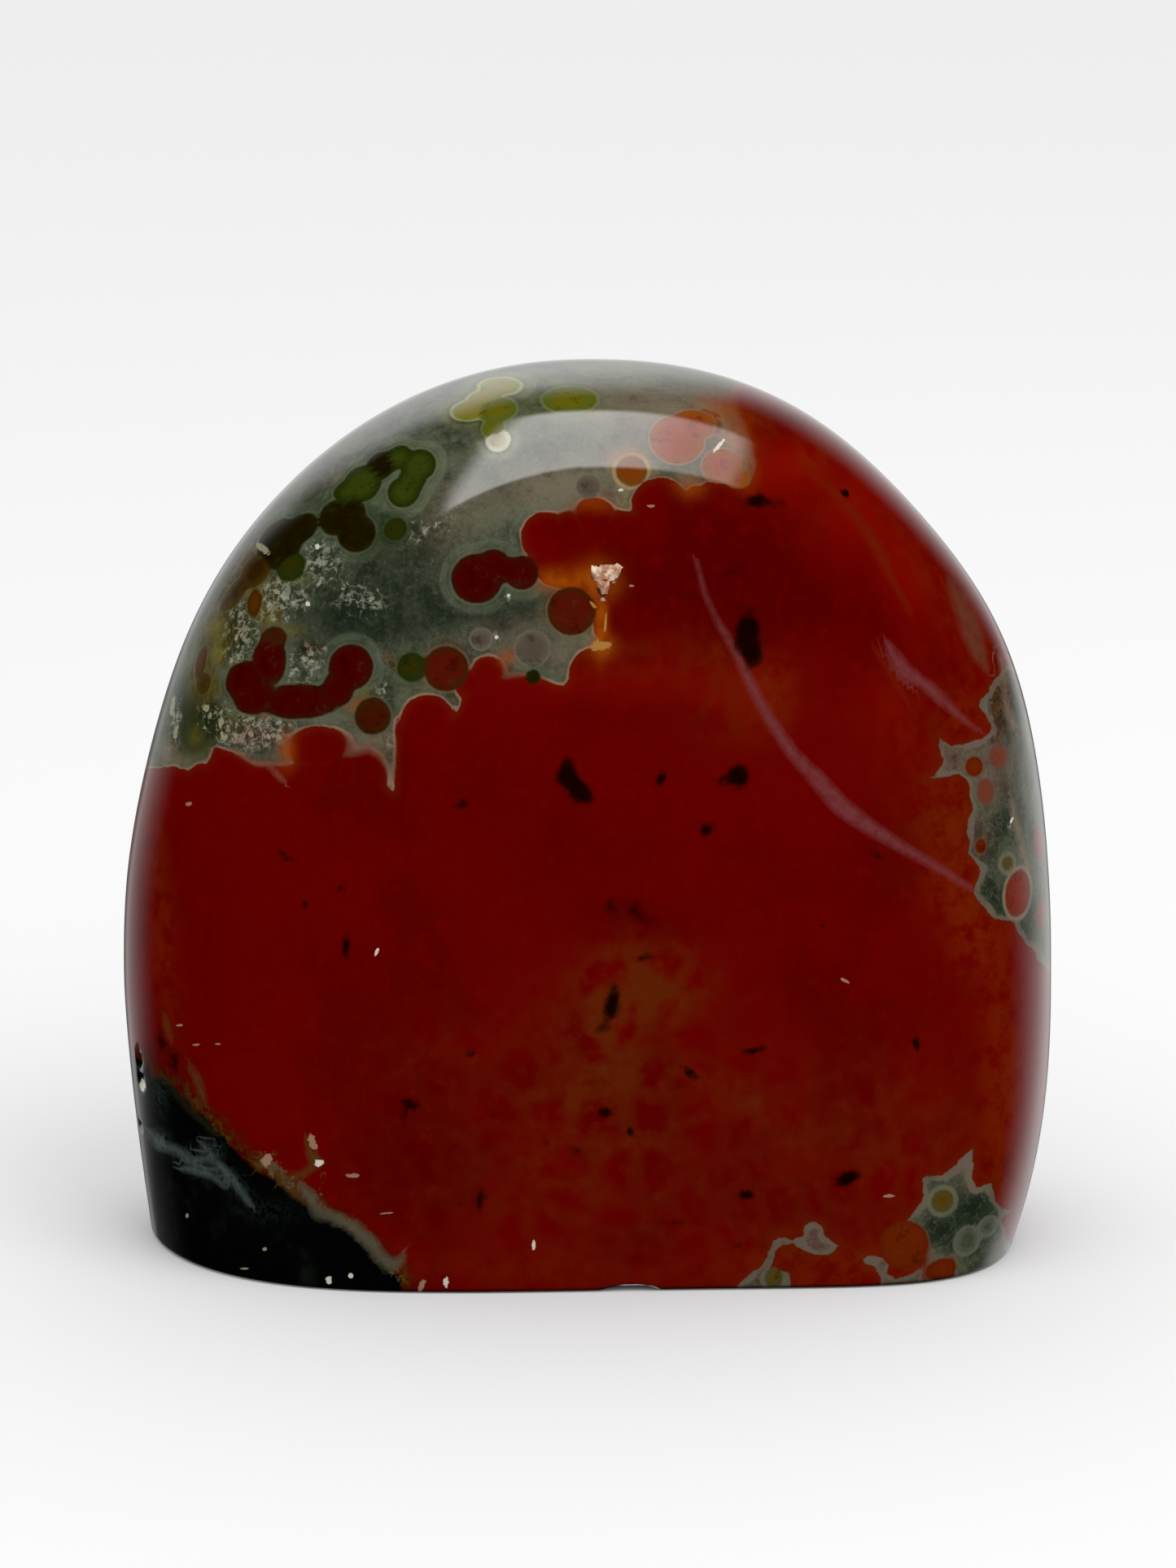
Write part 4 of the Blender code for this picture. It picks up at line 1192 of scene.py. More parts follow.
class Ink:
    """A socket of a material, with arithmetic that adds the matching Math nodes."""

    def __init__(self, bench: "Bench", socket: bpy.types.NodeSocket | None) -> None:
        """Keep the socket and the bench that adds nodes.

        Args:
            bench: where nodes are made.
            socket: the output that this value stands for, or None for a node that has none.
        """
        self.bench = bench
        self.socket = socket

    def apply(self, kind: str, *others: "Ink | float") -> "Ink":
        """A Math node of this kind on this value and the others."""
        return self.bench.maths(kind, self, *others)

    def __add__(self, other: "Ink | float") -> "Ink":
        """This plus other."""
        return self.apply("ADD", other)

    def __sub__(self, other: "Ink | float") -> "Ink":
        """This minus other."""
        return self.apply("SUBTRACT", other)

    def __rsub__(self, other: float) -> "Ink":
        """Other minus this."""
        return self.bench.maths("SUBTRACT", other, self)

    def __mul__(self, other: "Ink | float") -> "Ink":
        """This times other."""
        return self.apply("MULTIPLY", other)

    def __truediv__(self, other: "Ink | float") -> "Ink":
        """This divided by other."""
        return self.apply("DIVIDE", other)

    def __rtruediv__(self, other: float) -> "Ink":
        """Other divided by this."""
        return self.bench.maths("DIVIDE", other, self)

    __radd__ = __add__
    __rmul__ = __mul__

    def least(self, other: "Ink | float") -> "Ink":
        """The smaller of this and other."""
        return self.apply("MINIMUM", other)

    def most(self, other: "Ink | float") -> "Ink":
        """The larger of this and other."""
        return self.apply("MAXIMUM", other)

    def size(self) -> "Ink":
        """This without its sign."""
        return self.apply("ABSOLUTE")

    def ramp(self, low: float, high: float) -> "Ink":
        """Smooth 0 to 1 as this goes from low to high, which may be the smaller."""
        settings = {"interpolation_type": "SMOOTHSTEP"}
        return self.bench.node("ShaderNodeMapRange", settings, {0: self, 1: low, 2: high})

    def inside(self, softness: float) -> "Ink":
        """1 where this distance is below 0, with an edge of this softness."""
        return self.bench.node("ShaderNodeMapRange", {}, {0: self, 1: softness, 2: -softness})


class Bench:
    """Adds nodes to one material or world."""

    def __init__(self, owner: bpy.types.Material | bpy.types.World) -> None:
        """Empty the owner's node tree.

        Args:
            owner: the material or world that the nodes belong to.
        """
        self.owner = owner
        owner.use_nodes = True
        self.tree = owner.node_tree
        self.tree.nodes.clear()

    @classmethod
    def material(cls, name: str) -> "Bench":
        """A bench on a new material."""
        return cls(bpy.data.materials.new(name))

    def node(self, kind: str, settings: dict, values: dict, output: int | str = 0) -> Ink:
        """Add a node: its settings first, then a value or a link for each named socket.

        Args:
            kind: the node's type.
            settings: its options by name.
            values: socket name or number to a number, a colour or another node's output.
            output: which output to hand back.

        Returns:
            That output.
        """
        made = self.tree.nodes.new(kind)
        for name, value in settings.items():
            setattr(made, name, value)
        for socket, value in values.items():
            if isinstance(value, Ink):
                self.tree.links.new(value.socket, made.inputs[socket])
            else:
                made.inputs[socket].default_value = value
        return Ink(self, made.outputs[output] if made.outputs else None)

    def maths(self, kind: str, *values: Ink | float) -> Ink:
        """A Math node on one or two values."""
        return self.node("ShaderNodeMath", {"operation": kind}, dict(enumerate(values)))

    def vector(self, kind: str, *values: Ink | tuple, output: int | str = 0) -> Ink:
        """A Vector Math node on one or two vectors."""
        return self.node("ShaderNodeVectorMath", {"operation": kind}, dict(enumerate(values)), output)

    def field(self, name: str) -> Ink:
        """A number that the mesh carries on its vertices."""
        return self.node("ShaderNodeAttribute", {"attribute_name": name}, {}, "Fac")

    def colour_field(self, name: str) -> Ink:
        """A colour that the mesh carries on its vertices."""
        return self.node("ShaderNodeAttribute", {"attribute_name": name}, {}, "Color")

    def blend(self, share: Ink | float, first: Ink | Colour, second: Ink | Colour) -> Ink:
        """The first colour where share is 0, and the second where it is 1."""
        return self.node("ShaderNodeMix", {"data_type": "RGBA"}, {0: share, 6: first, 7: second}, 2)

    def part(self, vector: Ink, axis: str) -> Ink:
        """The X, Y or Z of a vector."""
        return self.node("ShaderNodeSeparateXYZ", {}, {0: vector}, axis)

    def millimetres(self) -> Ink:
        """The object's own coordinates, in millimetres."""
        here = self.node("ShaderNodeTexCoord", {}, {}, "Object")
        return self.vector("MULTIPLY", here, (1.0 / MM,) * 3)

    def bent(self, place: Ink, scale: float, reach: float) -> Ink:
        """Places pushed about by coloured noise, by up to about this many millimetres."""
        push = self.node("ShaderNodeTexNoise", {}, {"Vector": place, "Scale": scale, "Detail": 2.0}, "Color")
        return self.vector("MULTIPLY_ADD", push, (reach,) * 3, place)

    def noise(self, place: Ink, scale: float, detail: float = 2.0, roughness: float = 0.5) -> Ink:
        """Even noise, about 0.5 in the mean, with this many waves a millimetre."""
        values = {"Vector": place, "Scale": scale, "Detail": detail, "Roughness": roughness}
        return self.node("ShaderNodeTexNoise", {"noise_dimensions": "3D"}, values, "Fac")

    def cells(self, place: Ink, scale: float) -> Ink:
        """Distance to the nearest border between cells, this many across a millimetre."""
        settings = {"feature": "DISTANCE_TO_EDGE", "voronoi_dimensions": "3D"}
        return self.node("ShaderNodeTexVoronoi", settings, {"Vector": place, "Scale": scale}, "Distance")

    def finish(self, values: dict) -> bpy.types.Material:
        """End the material with a Principled shader.

        Args:
            values: the shader's sockets by name, as in node.

        Returns:
            The finished material.
        """
        shader = self.node("ShaderNodeBsdfPrincipled", {}, values)
        self.node("ShaderNodeOutputMaterial", {}, {"Surface": shader})
        return self.owner


@dataclass(frozen=True)
class StoneColours:
    """The colours between the orbs, as the photograph shows them."""

    red: Colour = tint(93, 1, 0)
    deep_red: Colour = tint(76, 0, 0)
    bright_red: Colour = tint(106, 4, 1)
    glow: Colour = tint(120, 5, 1)
    haze: Colour = tint(90, 30, 4)
    ember: Colour = tint(106, 30, 2)
    amber: Colour = tint(146, 66, 6)
    dark: Colour = tint(10, 2, 0)
    chalcedony: Colour = tint(72, 76, 58)
    chalcedony_dark: Colour = tint(42, 48, 34)
    murk: Colour = tint(22, 32, 20)
    lit: Colour = tint(104, 108, 90)
    druse: Colour = tint(140, 142, 120)
    pink_druse: Colour = tint(146, 118, 98)
    moss: Colour = tint(27, 34, 1)
    yellow: Colour = tint(104, 94, 24)
    umber: Colour = tint(40, 24, 3)
    rust: Colour = tint(78, 44, 8)
    mauve: Colour = tint(82, 54, 48)
    pale: Colour = tint(122, 106, 88)
    line: Colour = tint(140, 110, 90)
    low_line: Colour = tint(98, 86, 74)
    corner: Colour = tint(2, 3, 2)
    teal: Colour = tint(70, 84, 82)
    seam: Colour = tint(84, 76, 56)
    corner_grey: Colour = tint(34, 38, 34)
    fringe: Colour = tint(56, 34, 4)
    ochre: Colour = tint(104, 72, 16)


@dataclass
class JasperSkin:
    """The polished stone's material."""

    colours: StoneColours = field(default_factory=StoneColours)
    polish: float = 0.04
    wobble: float = 0.34
    tremble: float = 0.10
    orb_blur: float = 0.09
    relief: float = 0.35
    relief_depth: float = 0.00012

    def red_mass(self, bench: Bench, place: Ink) -> Ink:
        """The red jasper: slow shifts of red, a brown haze with rounder red cells in it, and embers.

        Args:
            bench: where nodes are made.
            place: places in millimetres.

        Returns:
            The colour of the red jasper.
        """
        tones = self.colours
        slow = bench.noise(place, 0.085, 3.0)
        fine = bench.noise(place, 0.9, 4.0, 0.62)
        deep = (slow.ramp(0.45, 0.62) * 0.6 + bench.field("deep")).least(1.0)
        body = bench.blend(deep, tones.red, tones.deep_red)
        body = bench.blend(fine.ramp(0.52, 0.72) * 0.4, body, tones.bright_red)
        body = bench.blend(bench.field("glow"), body, tones.glow)
        network = bench.cells(bench.bent(place, 0.35, 2.4), 0.27).ramp(0.30, 0.04)
        patchy = bench.noise(place, 0.45, 5.0, 0.66).ramp(0.42, 0.66)
        haze = bench.field("haze")
        share = (haze * (network * 0.9 + patchy * 0.8) + haze.ramp(0.6, 1.0) * 0.45).least(1.0)
        body = bench.blend(share, body, tones.haze)
        ember = bench.field("ember") * (bench.noise(place, 0.55, 5.0, 0.68).ramp(0.36, 0.6) * 0.9 + 0.1)
        body = bench.blend(ember, body, tones.ember)
        dark_veil = bench.noise(place, 0.3, 5.0, 0.7).ramp(0.60, 0.74) * 0.35
        return bench.blend(dark_veil, body, tones.deep_red)

    def chalcedony(self, bench: Bench, place: Ink, distance: Ink) -> Ink:
        """The grey-green stone: clouds, murk, moss, pale patches and fine grain.

        Args:
            bench: where nodes are made.
            place: places in millimetres.
            distance: distance to the red mass or the nearest orb.

        Returns:
            The colour of the grey-green stone.
        """
        tones = self.colours
        clouds = bench.noise(place, 0.22, 4.0, 0.6)
        grain = bench.noise(place, 2.6, 4.0, 0.7)
        murk = (bench.field("murk") * (clouds * 0.5 + 0.75)).least(1.0)
        clear = 1.0 - murk * 0.8
        grey = bench.blend(clouds.ramp(0.38, 0.62), tones.chalcedony_dark, tones.chalcedony)
        grey = bench.blend(murk, grey, tones.murk)
        grey = bench.blend(bench.field("pale") * 0.85, grey, tones.pale)
        umber = bench.field("umber")
        earth = bench.noise(place, 0.62, 5.0, 0.66)
        patches = (earth + umber * 0.36 - 0.66).ramp(0.0, 0.07) * umber.ramp(0.05, 0.3)
        brown = bench.blend(grain.ramp(0.42, 0.62), tones.umber, tones.rust)
        grey = bench.blend(patches * 0.92, grey, brown)
        grey = bench.blend(bench.field("moss") * (grain.ramp(0.3, 0.6) * 0.4 + 0.58), grey, tones.moss)
        grey = bench.blend(bench.field("mauve") * 0.9, grey, tones.mauve)
        grey = bench.blend(bench.field("yellow") * 0.9, grey, tones.yellow)
        bright = clear * (1.0 - bench.field("low") * 0.7) * (1.0 - bench.field("moss") * 0.85)
        veils = bench.noise(place, 0.55, 5.0, 0.72)
        grey = bench.blend(grain.ramp(0.50, 0.68) * (bright * 0.22 + 0.06), grey, tones.lit)
        grey = bench.blend(grain.ramp(0.48, 0.34) * 0.25, grey, tones.murk)
        grey = bench.blend(veils.ramp(0.50, 0.66) * bright * 0.30, grey, tones.lit)
        grey = bench.blend(veils.ramp(0.47, 0.32) * 0.35, grey, tones.murk)
        threads = (veils - 0.52).size().ramp(0.022, 0.0)
        grey = bench.blend(threads * (bright * 0.3 + bench.field("low") * 0.3), grey, tones.lit)
        halo = distance.ramp(0.10, 0.50) * distance.ramp(1.15, 0.55) * 0.45 + distance.ramp(1.6, 0.3) * 0.12
        halo = halo * (1.0 - bench.field("low") * 0.8)
        broken = bench.noise(place, 0.6, 3.0).ramp(0.25, 0.55) * 0.6 + 0.4
        halo = halo * bench.field("orb_glow").most(0.25) * broken
        grey = bench.blend(halo, grey, bench.colour_field("orb_line"))
        ripple = (distance - 0.78 + (veils - 0.5) * 1.4).size().ramp(0.15, 0.0)
        ripple = ripple * bench.field("orb_glow") * bright
        return bench.blend(ripple * 0.30, grey, tones.lit)

    def speckle(self, bench: Bench, place: Ink, below: Ink) -> Ink:
        """Angular crystal flecks, light on dark gaps, where the druse field asks for them.

        The flecks are whole cells of a bent Voronoi pattern, chosen by a coarse noise and by chance.

        Args:
            bench: where nodes are made.
            place: places in millimetres.
            below: the colour that the flecks lie on.

        Returns:
            The colour with the flecks laid over it.
        """
        tones = self.colours
        druse = bench.field("druse")
        coarse = bench.noise(place, 1.1, 5.0, 0.75)
        bent = bench.bent(place, 1.4, 0.9)
        pieces = bench.node("ShaderNodeTexVoronoi", {}, {"Vector": bent, "Scale": 2.3}, "Color")
        chance, shade = bench.part(pieces, "X"), bench.part(pieces, "Y")
        gaps = coarse.ramp(0.54, 0.42) * druse * 0.8
        below = bench.blend(gaps, below, tones.murk)
        flecks = (coarse * 0.75 + chance * 0.30 + druse * 0.22 - 0.745).ramp(0.0, 0.06)
        flecks = flecks * druse.ramp(0.05, 0.35)
        fleck_tone = bench.blend(bench.field("pale"), tones.druse, tones.pink_druse)
        cracks = bench.cells(bent, 0.85).ramp(0.075, 0.015) * druse.ramp(0.15, 0.6) * coarse.ramp(0.42, 0.55)
        below = bench.blend(cracks * 0.55, below, fleck_tone)
        return bench.blend(flecks * (shade * 0.65 + 0.3), below, fleck_tone)

    def orbs(self, bench: Bench, place: Ink, edge: Ink) -> Ink:
        """The inside of the orbs: the core's colour that turns to the ring's at the edge, mottled."""
        ring = (edge / bench.field("orb_ring_width") + 1.0).ramp(-0.4, 1.0)
        mottle = bench.noise(place, 0.85, 5.0, 0.68)
        ring = (ring + (mottle - 0.5) * 1.6).most(0.0).least(1.0)
        inside = bench.blend(ring, bench.colour_field("orb_core"), bench.colour_field("orb_ring"))
        inside = bench.blend(mottle.ramp(0.46, 0.34) * 0.4, inside, self.colours.dark)
        return bench.blend(mottle.ramp(0.56, 0.72) * 0.10, inside, bench.colour_field("orb_line"))

    def red_and_grey(self, bench: Bench, place: Ink, body_edge: Ink, orb_edge: Ink, wobble: Ink) -> Ink:
        """The chalcedony with its orbs beside the red mass, and the pale line between them.

        Args:
            bench: where nodes are made.
            place: places in millimetres.
            body_edge: distance to the red mass.
            orb_edge: distance to the nearest orb.
            wobble: the slow unevenness of the borders.

        Returns:
            The colour of the stone outside the black corner.
        """
        tones = self.colours
        both = body_edge.least(orb_edge)
        colour = self.chalcedony(bench, place, both)
        colour = self.speckle(bench, place, colour)
        near_body = (body_edge - orb_edge).inside(0.15)
        low = bench.field("low")
        zone_line = bench.blend(low, tones.line, tones.low_line)
        line_colour = bench.blend(near_body, bench.colour_field("orb_line"), zone_line)
        uneven_line = bench.noise(place, 0.32, 3.0, 0.6).ramp(0.3, 0.7)
        zone_width = (low * 0.30 + 0.15) * (uneven_line * 0.9 + 0.45)
        line_width = bench.field("orb_line_width") * (1.0 - near_body) + zone_width * near_body
        amber = bench.field("amber") * (bench.noise(place, 0.9, 3.0).ramp(0.3, 0.55) * 0.4 + 0.6)
        soft = bench.field("soft")
        line = (both - line_width).inside(self.orb_blur) * (1.0 - amber * 0.6) * (1.0 - soft * 0.75)
        line = line * (1.0 - bench.field("moss") * 0.8)
        colour = bench.blend(line * (uneven_line * 0.35 + 0.55), colour, line_colour)

        red = self.red_mass(bench, place)
        rim_tone = body_edge.ramp(-0.9, 0.0) * 0.35
        red = bench.blend(rim_tone, red, tones.haze)
        spread = soft * 1.1 + 0.05
        red_share = ((spread - body_edge + wobble * soft * 3.0) / (spread * 2.0)).most(0.0).least(1.0)
        colour = bench.blend(red_share, colour, red)
        colour = bench.blend(amber * 0.9, colour, tones.amber)
        return bench.blend(orb_edge.inside(self.orb_blur), colour, self.orbs(bench, place, orb_edge))

    def corner(self, bench: Bench, place: Ink, below: Ink, edge: Ink, ragged: Ink) -> Ink:
        """The black corner with its misty greys, its teal wisps, its brown fringe and the torn seam.

        Args:
            bench: where nodes are made.
            place: places in millimetres.
            below: the colour of the stone around it.
            edge: distance to the corner.
            ragged: the noise that tears its border.

        Returns:
            The colour with the corner laid over it.
        """
        tones = self.colours
        seam = bench.field("seam")
        colour = bench.blend(edge.ramp(1.8, 0.2) * 0.5, below, tones.dark)
        fringe = (edge.ramp(1.5, 0.1) * (ragged.ramp(0.40, 0.62) * 0.95 + 0.05)).least(0.85)
        fringe_tone = bench.blend(seam * ragged.ramp(0.5, 0.62), tones.fringe, tones.ochre)
        colour = bench.blend(fringe, colour, fringe_tone)
        mist = bench.noise(place, 0.35, 4.0, 0.6).ramp(0.55, 0.8) * 0.3
        black = bench.blend(mist, tones.corner, tones.corner_grey)
        wisps = (ragged - 0.5).size().ramp(0.07, 0.0) * 0.8 + ragged.ramp(0.5, 0.7) * 0.35
        black = bench.blend(bench.field("teal") * wisps, black, tones.teal)
        colour = bench.blend(edge.ramp(0.25, -0.15), colour, black)
        flaky = (seam + ragged * 2.4 - 1.98).ramp(0.0, 0.16)
        flaky = flaky * edge.ramp(-0.4, -0.1) * edge.ramp(1.9, 1.2)
        return bench.blend(flaky * 0.75, colour, tones.seam)

    def vein_share(self, bench: Bench, place: Ink, ragged: Ink, unevenness: Ink) -> Ink:
        """How much a vein covers: thin and broken, torn along the seam, fainter inside the corner.

        Args:
            bench: where nodes are made.
            place: places in millimetres.
            ragged: the noise that tears the seam.
            unevenness: what moves the veins' borders.

        Returns:
            A share of 0 to 1.
        """
        seam = bench.field("seam")
        torn = (ragged - 0.5) * seam * 2.6
        edge = bench.field("vein_offset").size() - bench.field("vein_half") + unevenness + torn
        cover = bench.noise(place, 1.2, 4.0, 0.7).ramp(0.3, 0.6) * 0.5 + 0.5
        share = edge.inside(0.32) * cover.most(seam.ramp(0.1, 0.5))
        return share * (1.0 - bench.field("corner_edge").inside(0.5) * 0.35)

    def marks(self, bench: Bench, place: Ink, below: Ink) -> Ink:
        """The soft dark spots, a painted contact shadow along the foot where the stone stands, and the crisp
        pale flecks.
        """
        tones = self.colours
        spots = bench.field("dark")
        depth = spots * 1.6 + (bench.noise(place, 0.75, 3.0, 0.55) - 0.5) * 2.0 - 0.55
        depth = depth.ramp(-0.3, 1.0) * spots.ramp(0.0, 0.12)
        colour = bench.blend(depth * (2.0 - depth) * 0.97, below, tones.dark)
        # painted contact shadow: the lowest half millimetre of the stone is darkened towards the dark tone,
        # as shade where it stands on the floor
        painted_contact_shadow = bench.part(place, "Z").ramp(0.50, 0.12)
        colour = bench.blend(painted_contact_shadow * 0.9, colour, tones.dark)
        uneven = (bench.noise(place, 3.4, 3.0, 0.7) - 0.5) * 1.9
        fleck = bench.node("ShaderNodeAttribute", {"attribute_name": "fleck"}, {}, "Vector")
        reach = bench.vector("LENGTH", bench.vector("MULTIPLY", fleck, (1.0, 1.0, 0.0)), output="Value")
        near = bench.part(fleck, "Z").ramp(0.98, 1.0)
        share = (reach + uneven - 1.0).inside(0.12) * near * 0.9
        return bench.blend(share, colour, bench.colour_field("fleck_colour"))

    def make(self) -> bpy.types.Material:
        """Build the material.

        Returns:
            The finished material.
        """
        bench = Bench.material("polished_jasper")
        place = bench.millimetres()
        wobble = (bench.noise(place, 0.75, 3.0, 0.6) - 0.5) * self.wobble
        tremble = (bench.noise(place, 3.2, 2.0) - 0.5) * self.tremble
        body_edge = bench.field("body_edge") + wobble * (bench.field("low") * 0.9 + 1.0) + tremble
        druse = bench.field("druse")
        orb_edge = bench.field("orb_edge") + wobble * (druse * 1.5 + 0.45) + tremble * 0.7
        colour = self.red_and_grey(bench, place, body_edge, orb_edge, wobble)

        ragged = bench.noise(place, 1.3, 4.0, 0.7)
        vein = self.vein_share(bench, place, ragged, wobble * 0.5 + tremble)
        corner_edge = bench.field("corner_edge") + wobble * 3.2 + tremble * 2.0
        colour = self.corner(bench, place, colour, corner_edge, ragged)
        colour = bench.blend(vein * 0.92, colour, bench.colour_field("vein_colour"))
        colour = self.marks(bench, place, colour)

        crusty = bench.noise(place, 1.5, 5.0, 0.72)
        rough = druse.ramp(0.4, 1.0) * crusty.ramp(0.45, 0.6) * 0.25 + self.polish
        pits = crusty * druse * 0.4 + bench.noise(place, 0.05, 1.0) * 1.2
        bump = {"Strength": self.relief, "Distance": self.relief_depth, "Height": pits}
        relief = bench.node("ShaderNodeBump", {}, bump)
        return bench.finish({"Base Color": colour, "Roughness": rough, "IOR": QUARTZ_IOR, "Normal": relief})


@dataclass
class HalfMoon:
    """The whole stone: its skin with the hollows, its pattern and its material."""

    sight: Sight
    form: StoneForm = field(default_factory=StoneForm)
    pocket: Spot = (745, 705)
    pocket_foot: Spot = (741, 722)
    left_hole: Spot = (317, 927)
    right_hole: Spot = (1172, 934)
    chip: Spot = (774, 1583)
    edge_pits: tuple[Spot, ...] = ((171, 1304), (174, 1328), (173, 1383))

    def at(self, pixel: Spot) -> tuple[float, float, float]:
        """The place on the skin that a pixel shows."""
        place = self.form.under(self.sight, np.array([pixel[0]]), np.array([pixel[1]]))[0]
        return tuple(float(value) for value in place)

    def hollows(self) -> tuple[Hollow, ...]:
        """The druzy pocket, the small holes, the worn left edge and the chip at the base."""
        back, rightwards = (0.0, 1.0, 0.0), (1.0, 0.35, 0.0)
        chip = self.at(self.chip)
        pit_sizes = ((0.45, 0.8, 0.75), (0.40, 0.8, 0.55), (0.25, 0.7, 0.3))
        pits = tuple(
            Hollow(self.at(pixel), sizes, rightwards, 0.10, number)
            for number, (pixel, sizes) in enumerate(zip(self.edge_pits, pit_sizes), start=31)
        )
        return (
            Hollow(self.at(self.pocket), (1.30, 1.0, 0.75), back, 0.10, 7),
            Hollow(self.at(self.pocket_foot), (0.60, 0.9, 1.05), back, 0.05, 8),
            Hollow(self.at(self.left_hole), (0.62, 0.8, 0.42), back, 0.0, 0),
            Hollow(self.at(self.right_hole), (0.34, 0.6, 0.5), back, 0.0, 0),
            *pits,
            Hollow((chip[0], chip[1], 0.0), (2.9, 1.0, 0.62), (0.0, 0.8, 0.6), 0.05, 9),
        )

    def build(self) -> bpy.types.Object:
        """Make the stone and let it stand for its solid.

        Returns:
            The stone's object.
        """
        grid = SkinGrid(self.form, hollows=self.hollows())
        points, faces = grid.points_and_faces()
        low, high = np.array(CAD_BOX[0]) / MM, np.array(CAD_BOX[1]) / MM
        points = np.clip(points, low, high)
        stone = new_piece("jasper_half_moon", points, faces, True)
        Pattern(self.form, self.sight).lay_on(stone.data, points)
        stone.data.materials.append(JasperSkin().make())
        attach(stone, BODY)
        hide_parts(NODE)
        LOG.info("stone: %d vertices, %d faces", len(points), len(faces))
        return stone


@dataclass(frozen=True)
class QuartzFinish:
    """Pale pink quartz with flat faces, its two tones a painted lit facet and a painted shaded facet."""

    # colour is the painted lit facet tone, shade the painted shaded facet tone
    colour: Colour = tint(238, 214, 190)
    shade: Colour = tint(178, 128, 98)
    roughness: float = 0.12

    def make(self) -> bpy.types.Material:
        """Build the material: a painted lit tone and a painted shade tone, mixed by fine noise."""
        bench = Bench.material("druzy_quartz")
        # painted light and shade: fine noise picks between the lit facet tone and the shaded facet tone
        light = bench.noise(bench.millimetres(), 1.4, 2.0).ramp(0.35, 0.65)
        colour = bench.blend(light, self.shade, self.colour)
        return bench.finish({"Base Color": colour, "Roughness": self.roughness, "IOR": QUARTZ_IOR})


@dataclass
class DruzyPocket:
    """Quartz points that stand out of the pocket's wall."""

    middle: tuple[float, float, float]
    roots: tuple[Spot, ...] = (
        (-0.95, 0.30), (-0.50, 0.10), (-0.05, 0.35), (0.45, 0.15), (0.95, 0.40), (-0.60, -0.35),
        (-0.10, -0.30), (0.45, -0.40), (-0.35, -0.85), (0.15, -0.95), (-0.15, -1.45), (0.75, -0.10),
    )
    depth: float = 0.62
    sides: int = 5
    seed: int = 5

    def crystal(self, root: np.ndarray, way: np.ndarray, radius: float, length: float) -> np.ndarray:
        """Corners of one point: a ring at the root, the same ring up the shaft, and the tip.

        ring(a) = root + radius (cos a side + sin a other), the shaft adds 0.55 length along way.
        """
        side = np.cross(way, (0.3, 0.2, 0.9))
        side /= np.linalg.norm(side)
        other = np.cross(way, side)
        angles = np.linspace(0.0, 2.0 * np.pi, self.sides, endpoint=False)[:, None]
        ring = radius * (np.cos(angles) * side + np.sin(angles) * other)
        return np.concatenate([[root], root + ring, root + ring + 0.55 * length * way, [root + length * way]])

    def build(self) -> bpy.types.Object:
        """Make all the points as one joined mesh."""
        draw = np.random.default_rng(self.seed)
        corners, faces = [], []
        ring = np.arange(self.sides)
        after = (ring + 1) % self.sides
        for number, (across, up) in enumerate(self.roots):
            floor = self.depth - 0.12 * math.hypot(across, up)
            root = np.array(self.middle) + (across, floor, up)
            way = np.array((draw.normal(-0.2, 0.35), -1.0, draw.normal(0.1, 0.35)))
            radius, length = float(draw.uniform(0.38, 0.58)), float(draw.uniform(0.45, 0.80))
            corners.append(self.crystal(root, way / np.linalg.norm(way), radius, length))
            start = number * (2 * self.sides + 2)
            low, high, tip = start + 1, start + 1 + self.sides, start + 1 + 2 * self.sides
            faces += [(start, int(low + b), int(low + a)) for a, b in zip(ring, after)]
            faces += [(int(low + a), int(low + b), int(high + b), int(high + a)) for a, b in zip(ring, after)]
            faces += [(int(high + a), int(high + b), tip) for a, b in zip(ring, after)]
        piece = new_piece("druzy_quartz", np.concatenate(corners), faces, False)
        piece.data.materials.append(QuartzFinish().make())
        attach(piece, BODY)
        LOG.info("druzy pocket: %d quartz points", len(self.roots))
        return piece


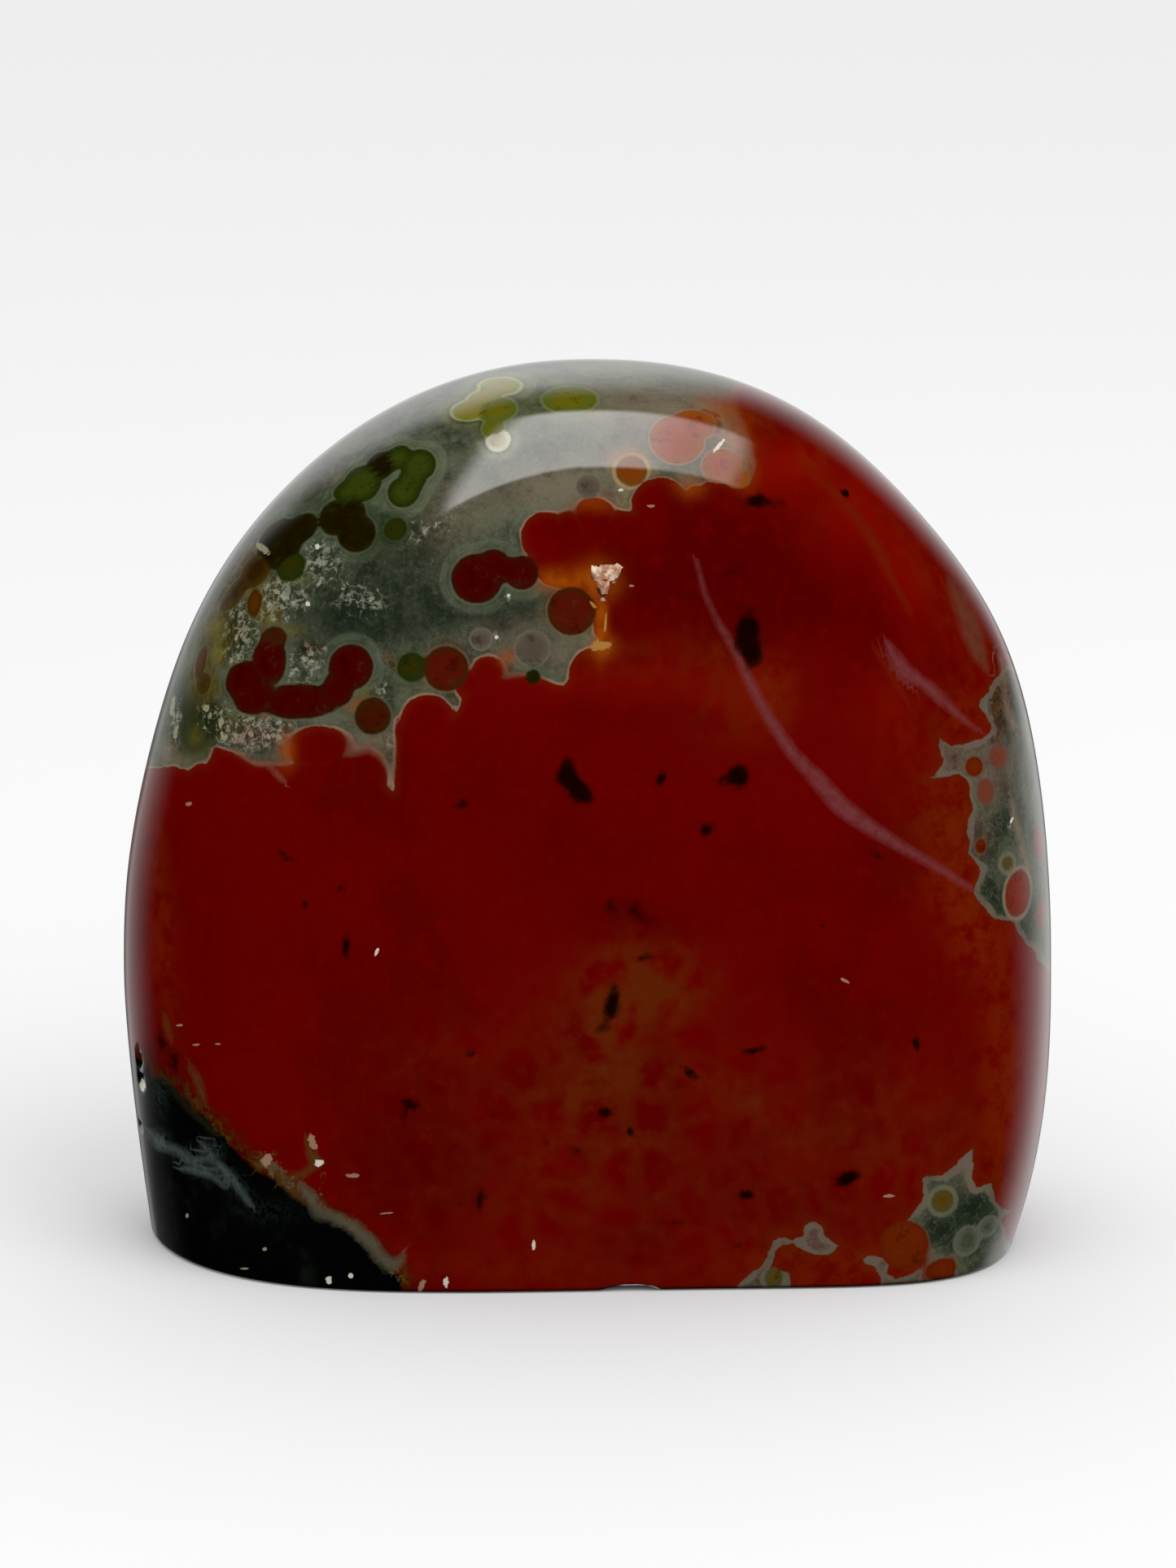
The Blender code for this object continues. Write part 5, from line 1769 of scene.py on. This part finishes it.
@dataclass
class Studio:
    """A pale floor, soft light all round and a little more of it from the front."""

    floor_size: float = 30.0
    floor_grey: float = 0.91
    ambient: float = 0.935
    window: float = 5.2
    key_power: float = 2.1

    def make_floor(self) -> bpy.types.Object:
        """The floor: one large square, unseen in glossy rays."""
        half = 0.5 * self.floor_size / MM
        corners = np.array([(-half, -half, 0.0), (half, -half, 0.0), (half, half, 0.0), (-half, half, 0.0)])
        floor = new_piece("studio_floor", corners - np.array((0.0, 0.0, 0.02)), [(0, 1, 2, 3)], False)
        bench = Bench.material("pale_floor")
        grey = (self.floor_grey,) * 3 + (1.0,)
        values = {"Base Color": grey, "Roughness": 0.9, "Specular IOR Level": 0.0}
        floor.data.materials.append(bench.finish(values))
        floor.visible_glossy = False
        return floor

    def make_world(self) -> None:
        """Even pale light. Polished faces see darkness in front and a pale room behind the stone.

        The room seen in reflections is bright far behind and above, and also low at the right. In
        front it holds one soft window overhead: p and q are places on a level ceiling at height 1.
        """
        world = bpy.data.worlds.new("studio")
        bench = Bench(world)
        way = bench.node("ShaderNodeTexCoord", {}, {}, "Generated")
        across, along, rise = (bench.part(way, axis) for axis in "XYZ")
        behind = along.ramp(0.58, 1.02) * 0.85
        left = across.ramp(-0.1, -0.5) * along.ramp(0.3, 0.95) * rise.ramp(0.4, 0.1) * 0.6
        right = across.ramp(0.3, 0.8) * along.ramp(-0.02, 0.8) * rise.ramp(0.06, -0.12) * 1.1
        above = across.ramp(0.4, 0.0) * across.ramp(-0.8, -0.35) * along.ramp(0.42, 0.72)
        above = above * rise.ramp(0.1, 0.8) * 1.6 * (1.0 - rise.ramp(0.88, 0.99) * 0.35)
        low_left = across.ramp(-0.1, -0.45) * rise.ramp(-0.28, -0.36) * 0.85
        straight = along.ramp(0.86, 0.95) * rise.ramp(0.0, -0.14) * 0.8
        room = (behind.most(left) + right + above) * (1.0 - low_left) * (1.0 - straight)
        p = across / rise.most(0.05)
        q = 0.0 - along / rise.most(0.05)
        front_side = (0.52 - p.least(0.0) * 0.4 - q).ramp(-0.03, 0.03)
        rear_side = (q + 0.25).ramp(-0.04, 0.05)
        left_side = (p + 0.28 + q * 0.41).ramp(-0.06, 0.10)
        right_side = (0.56 - p).ramp(-0.05, 0.08)
        dimmer = 1.0 - p.ramp(0.05, 0.35) * 0.5
        sides = front_side * rear_side * left_side * right_side
        room = room + sides * rise.ramp(0.3, 0.5) * dimmer * self.window
        glossy = bench.node("ShaderNodeLightPath", {}, {}, "Is Glossy Ray")
        strength = glossy * room + (1.0 - glossy) * self.ambient
        background = bench.node("ShaderNodeBackground", {}, {"Color": (1.0,) * 4, "Strength": strength})
        bench.node("ShaderNodeOutputWorld", {}, {"Surface": background})
        bpy.context.scene.world = world

    def make_light(
        self, name: str, size: Spot, power: float, azimuth: float, elevation: float, distance: float
    ) -> bpy.types.Object:
        """A rectangular area light that looks at the stone's middle.

        Args:
            name: the light's name.
            size: width and height in metres.
            power: watts.
            azimuth: degrees to the right of straight in front.
            elevation: degrees above the floor.
            distance: metres from the stone's middle.

        Returns:
            The light's object.
        """
        data = bpy.data.lights.new(name, "AREA")
        data.shape = "RECTANGLE"
        data.size, data.size_y = size
        data.energy = power
        light = bpy.data.objects.new(name, data)
        turn, tilt = math.radians(azimuth), math.radians(elevation)
        back = Vector((math.sin(turn) * math.cos(tilt), -math.cos(turn) * math.cos(tilt), math.sin(tilt)))
        light.location = Vector((0.0, 0.0, 0.045)) + back * distance
        light.rotation_mode = "QUATERNION"
        light.rotation_quaternion = (-back).to_track_quat("-Z", "Y")
        light.visible_camera = False
        bpy.context.scene.collection.objects.link(light)
        return light

    def build(self) -> None:
        """Floor, world and lights, with plain colour reproduction."""
        self.make_floor()
        self.make_world()
        key = self.make_light("key", (0.6, 0.6), self.key_power, 38.0, 50.0, 0.9)
        key.visible_glossy = False
        bpy.context.scene.view_settings.view_transform = "Standard"
        bpy.context.scene.view_settings.look = "None"
        LOG.info("studio: floor, world and key light")


def main() -> None:
    """Build the stone, its quartz points and the studio."""
    logging.basicConfig(level=logging.INFO, format="%(name)s: %(message)s")
    sight = Sight()
    sight.make_camera()
    moon = HalfMoon(sight)
    moon.build()
    DruzyPocket(moon.at(moon.pocket)).build()
    Studio().build()


if __name__ == "__main__":
    main()
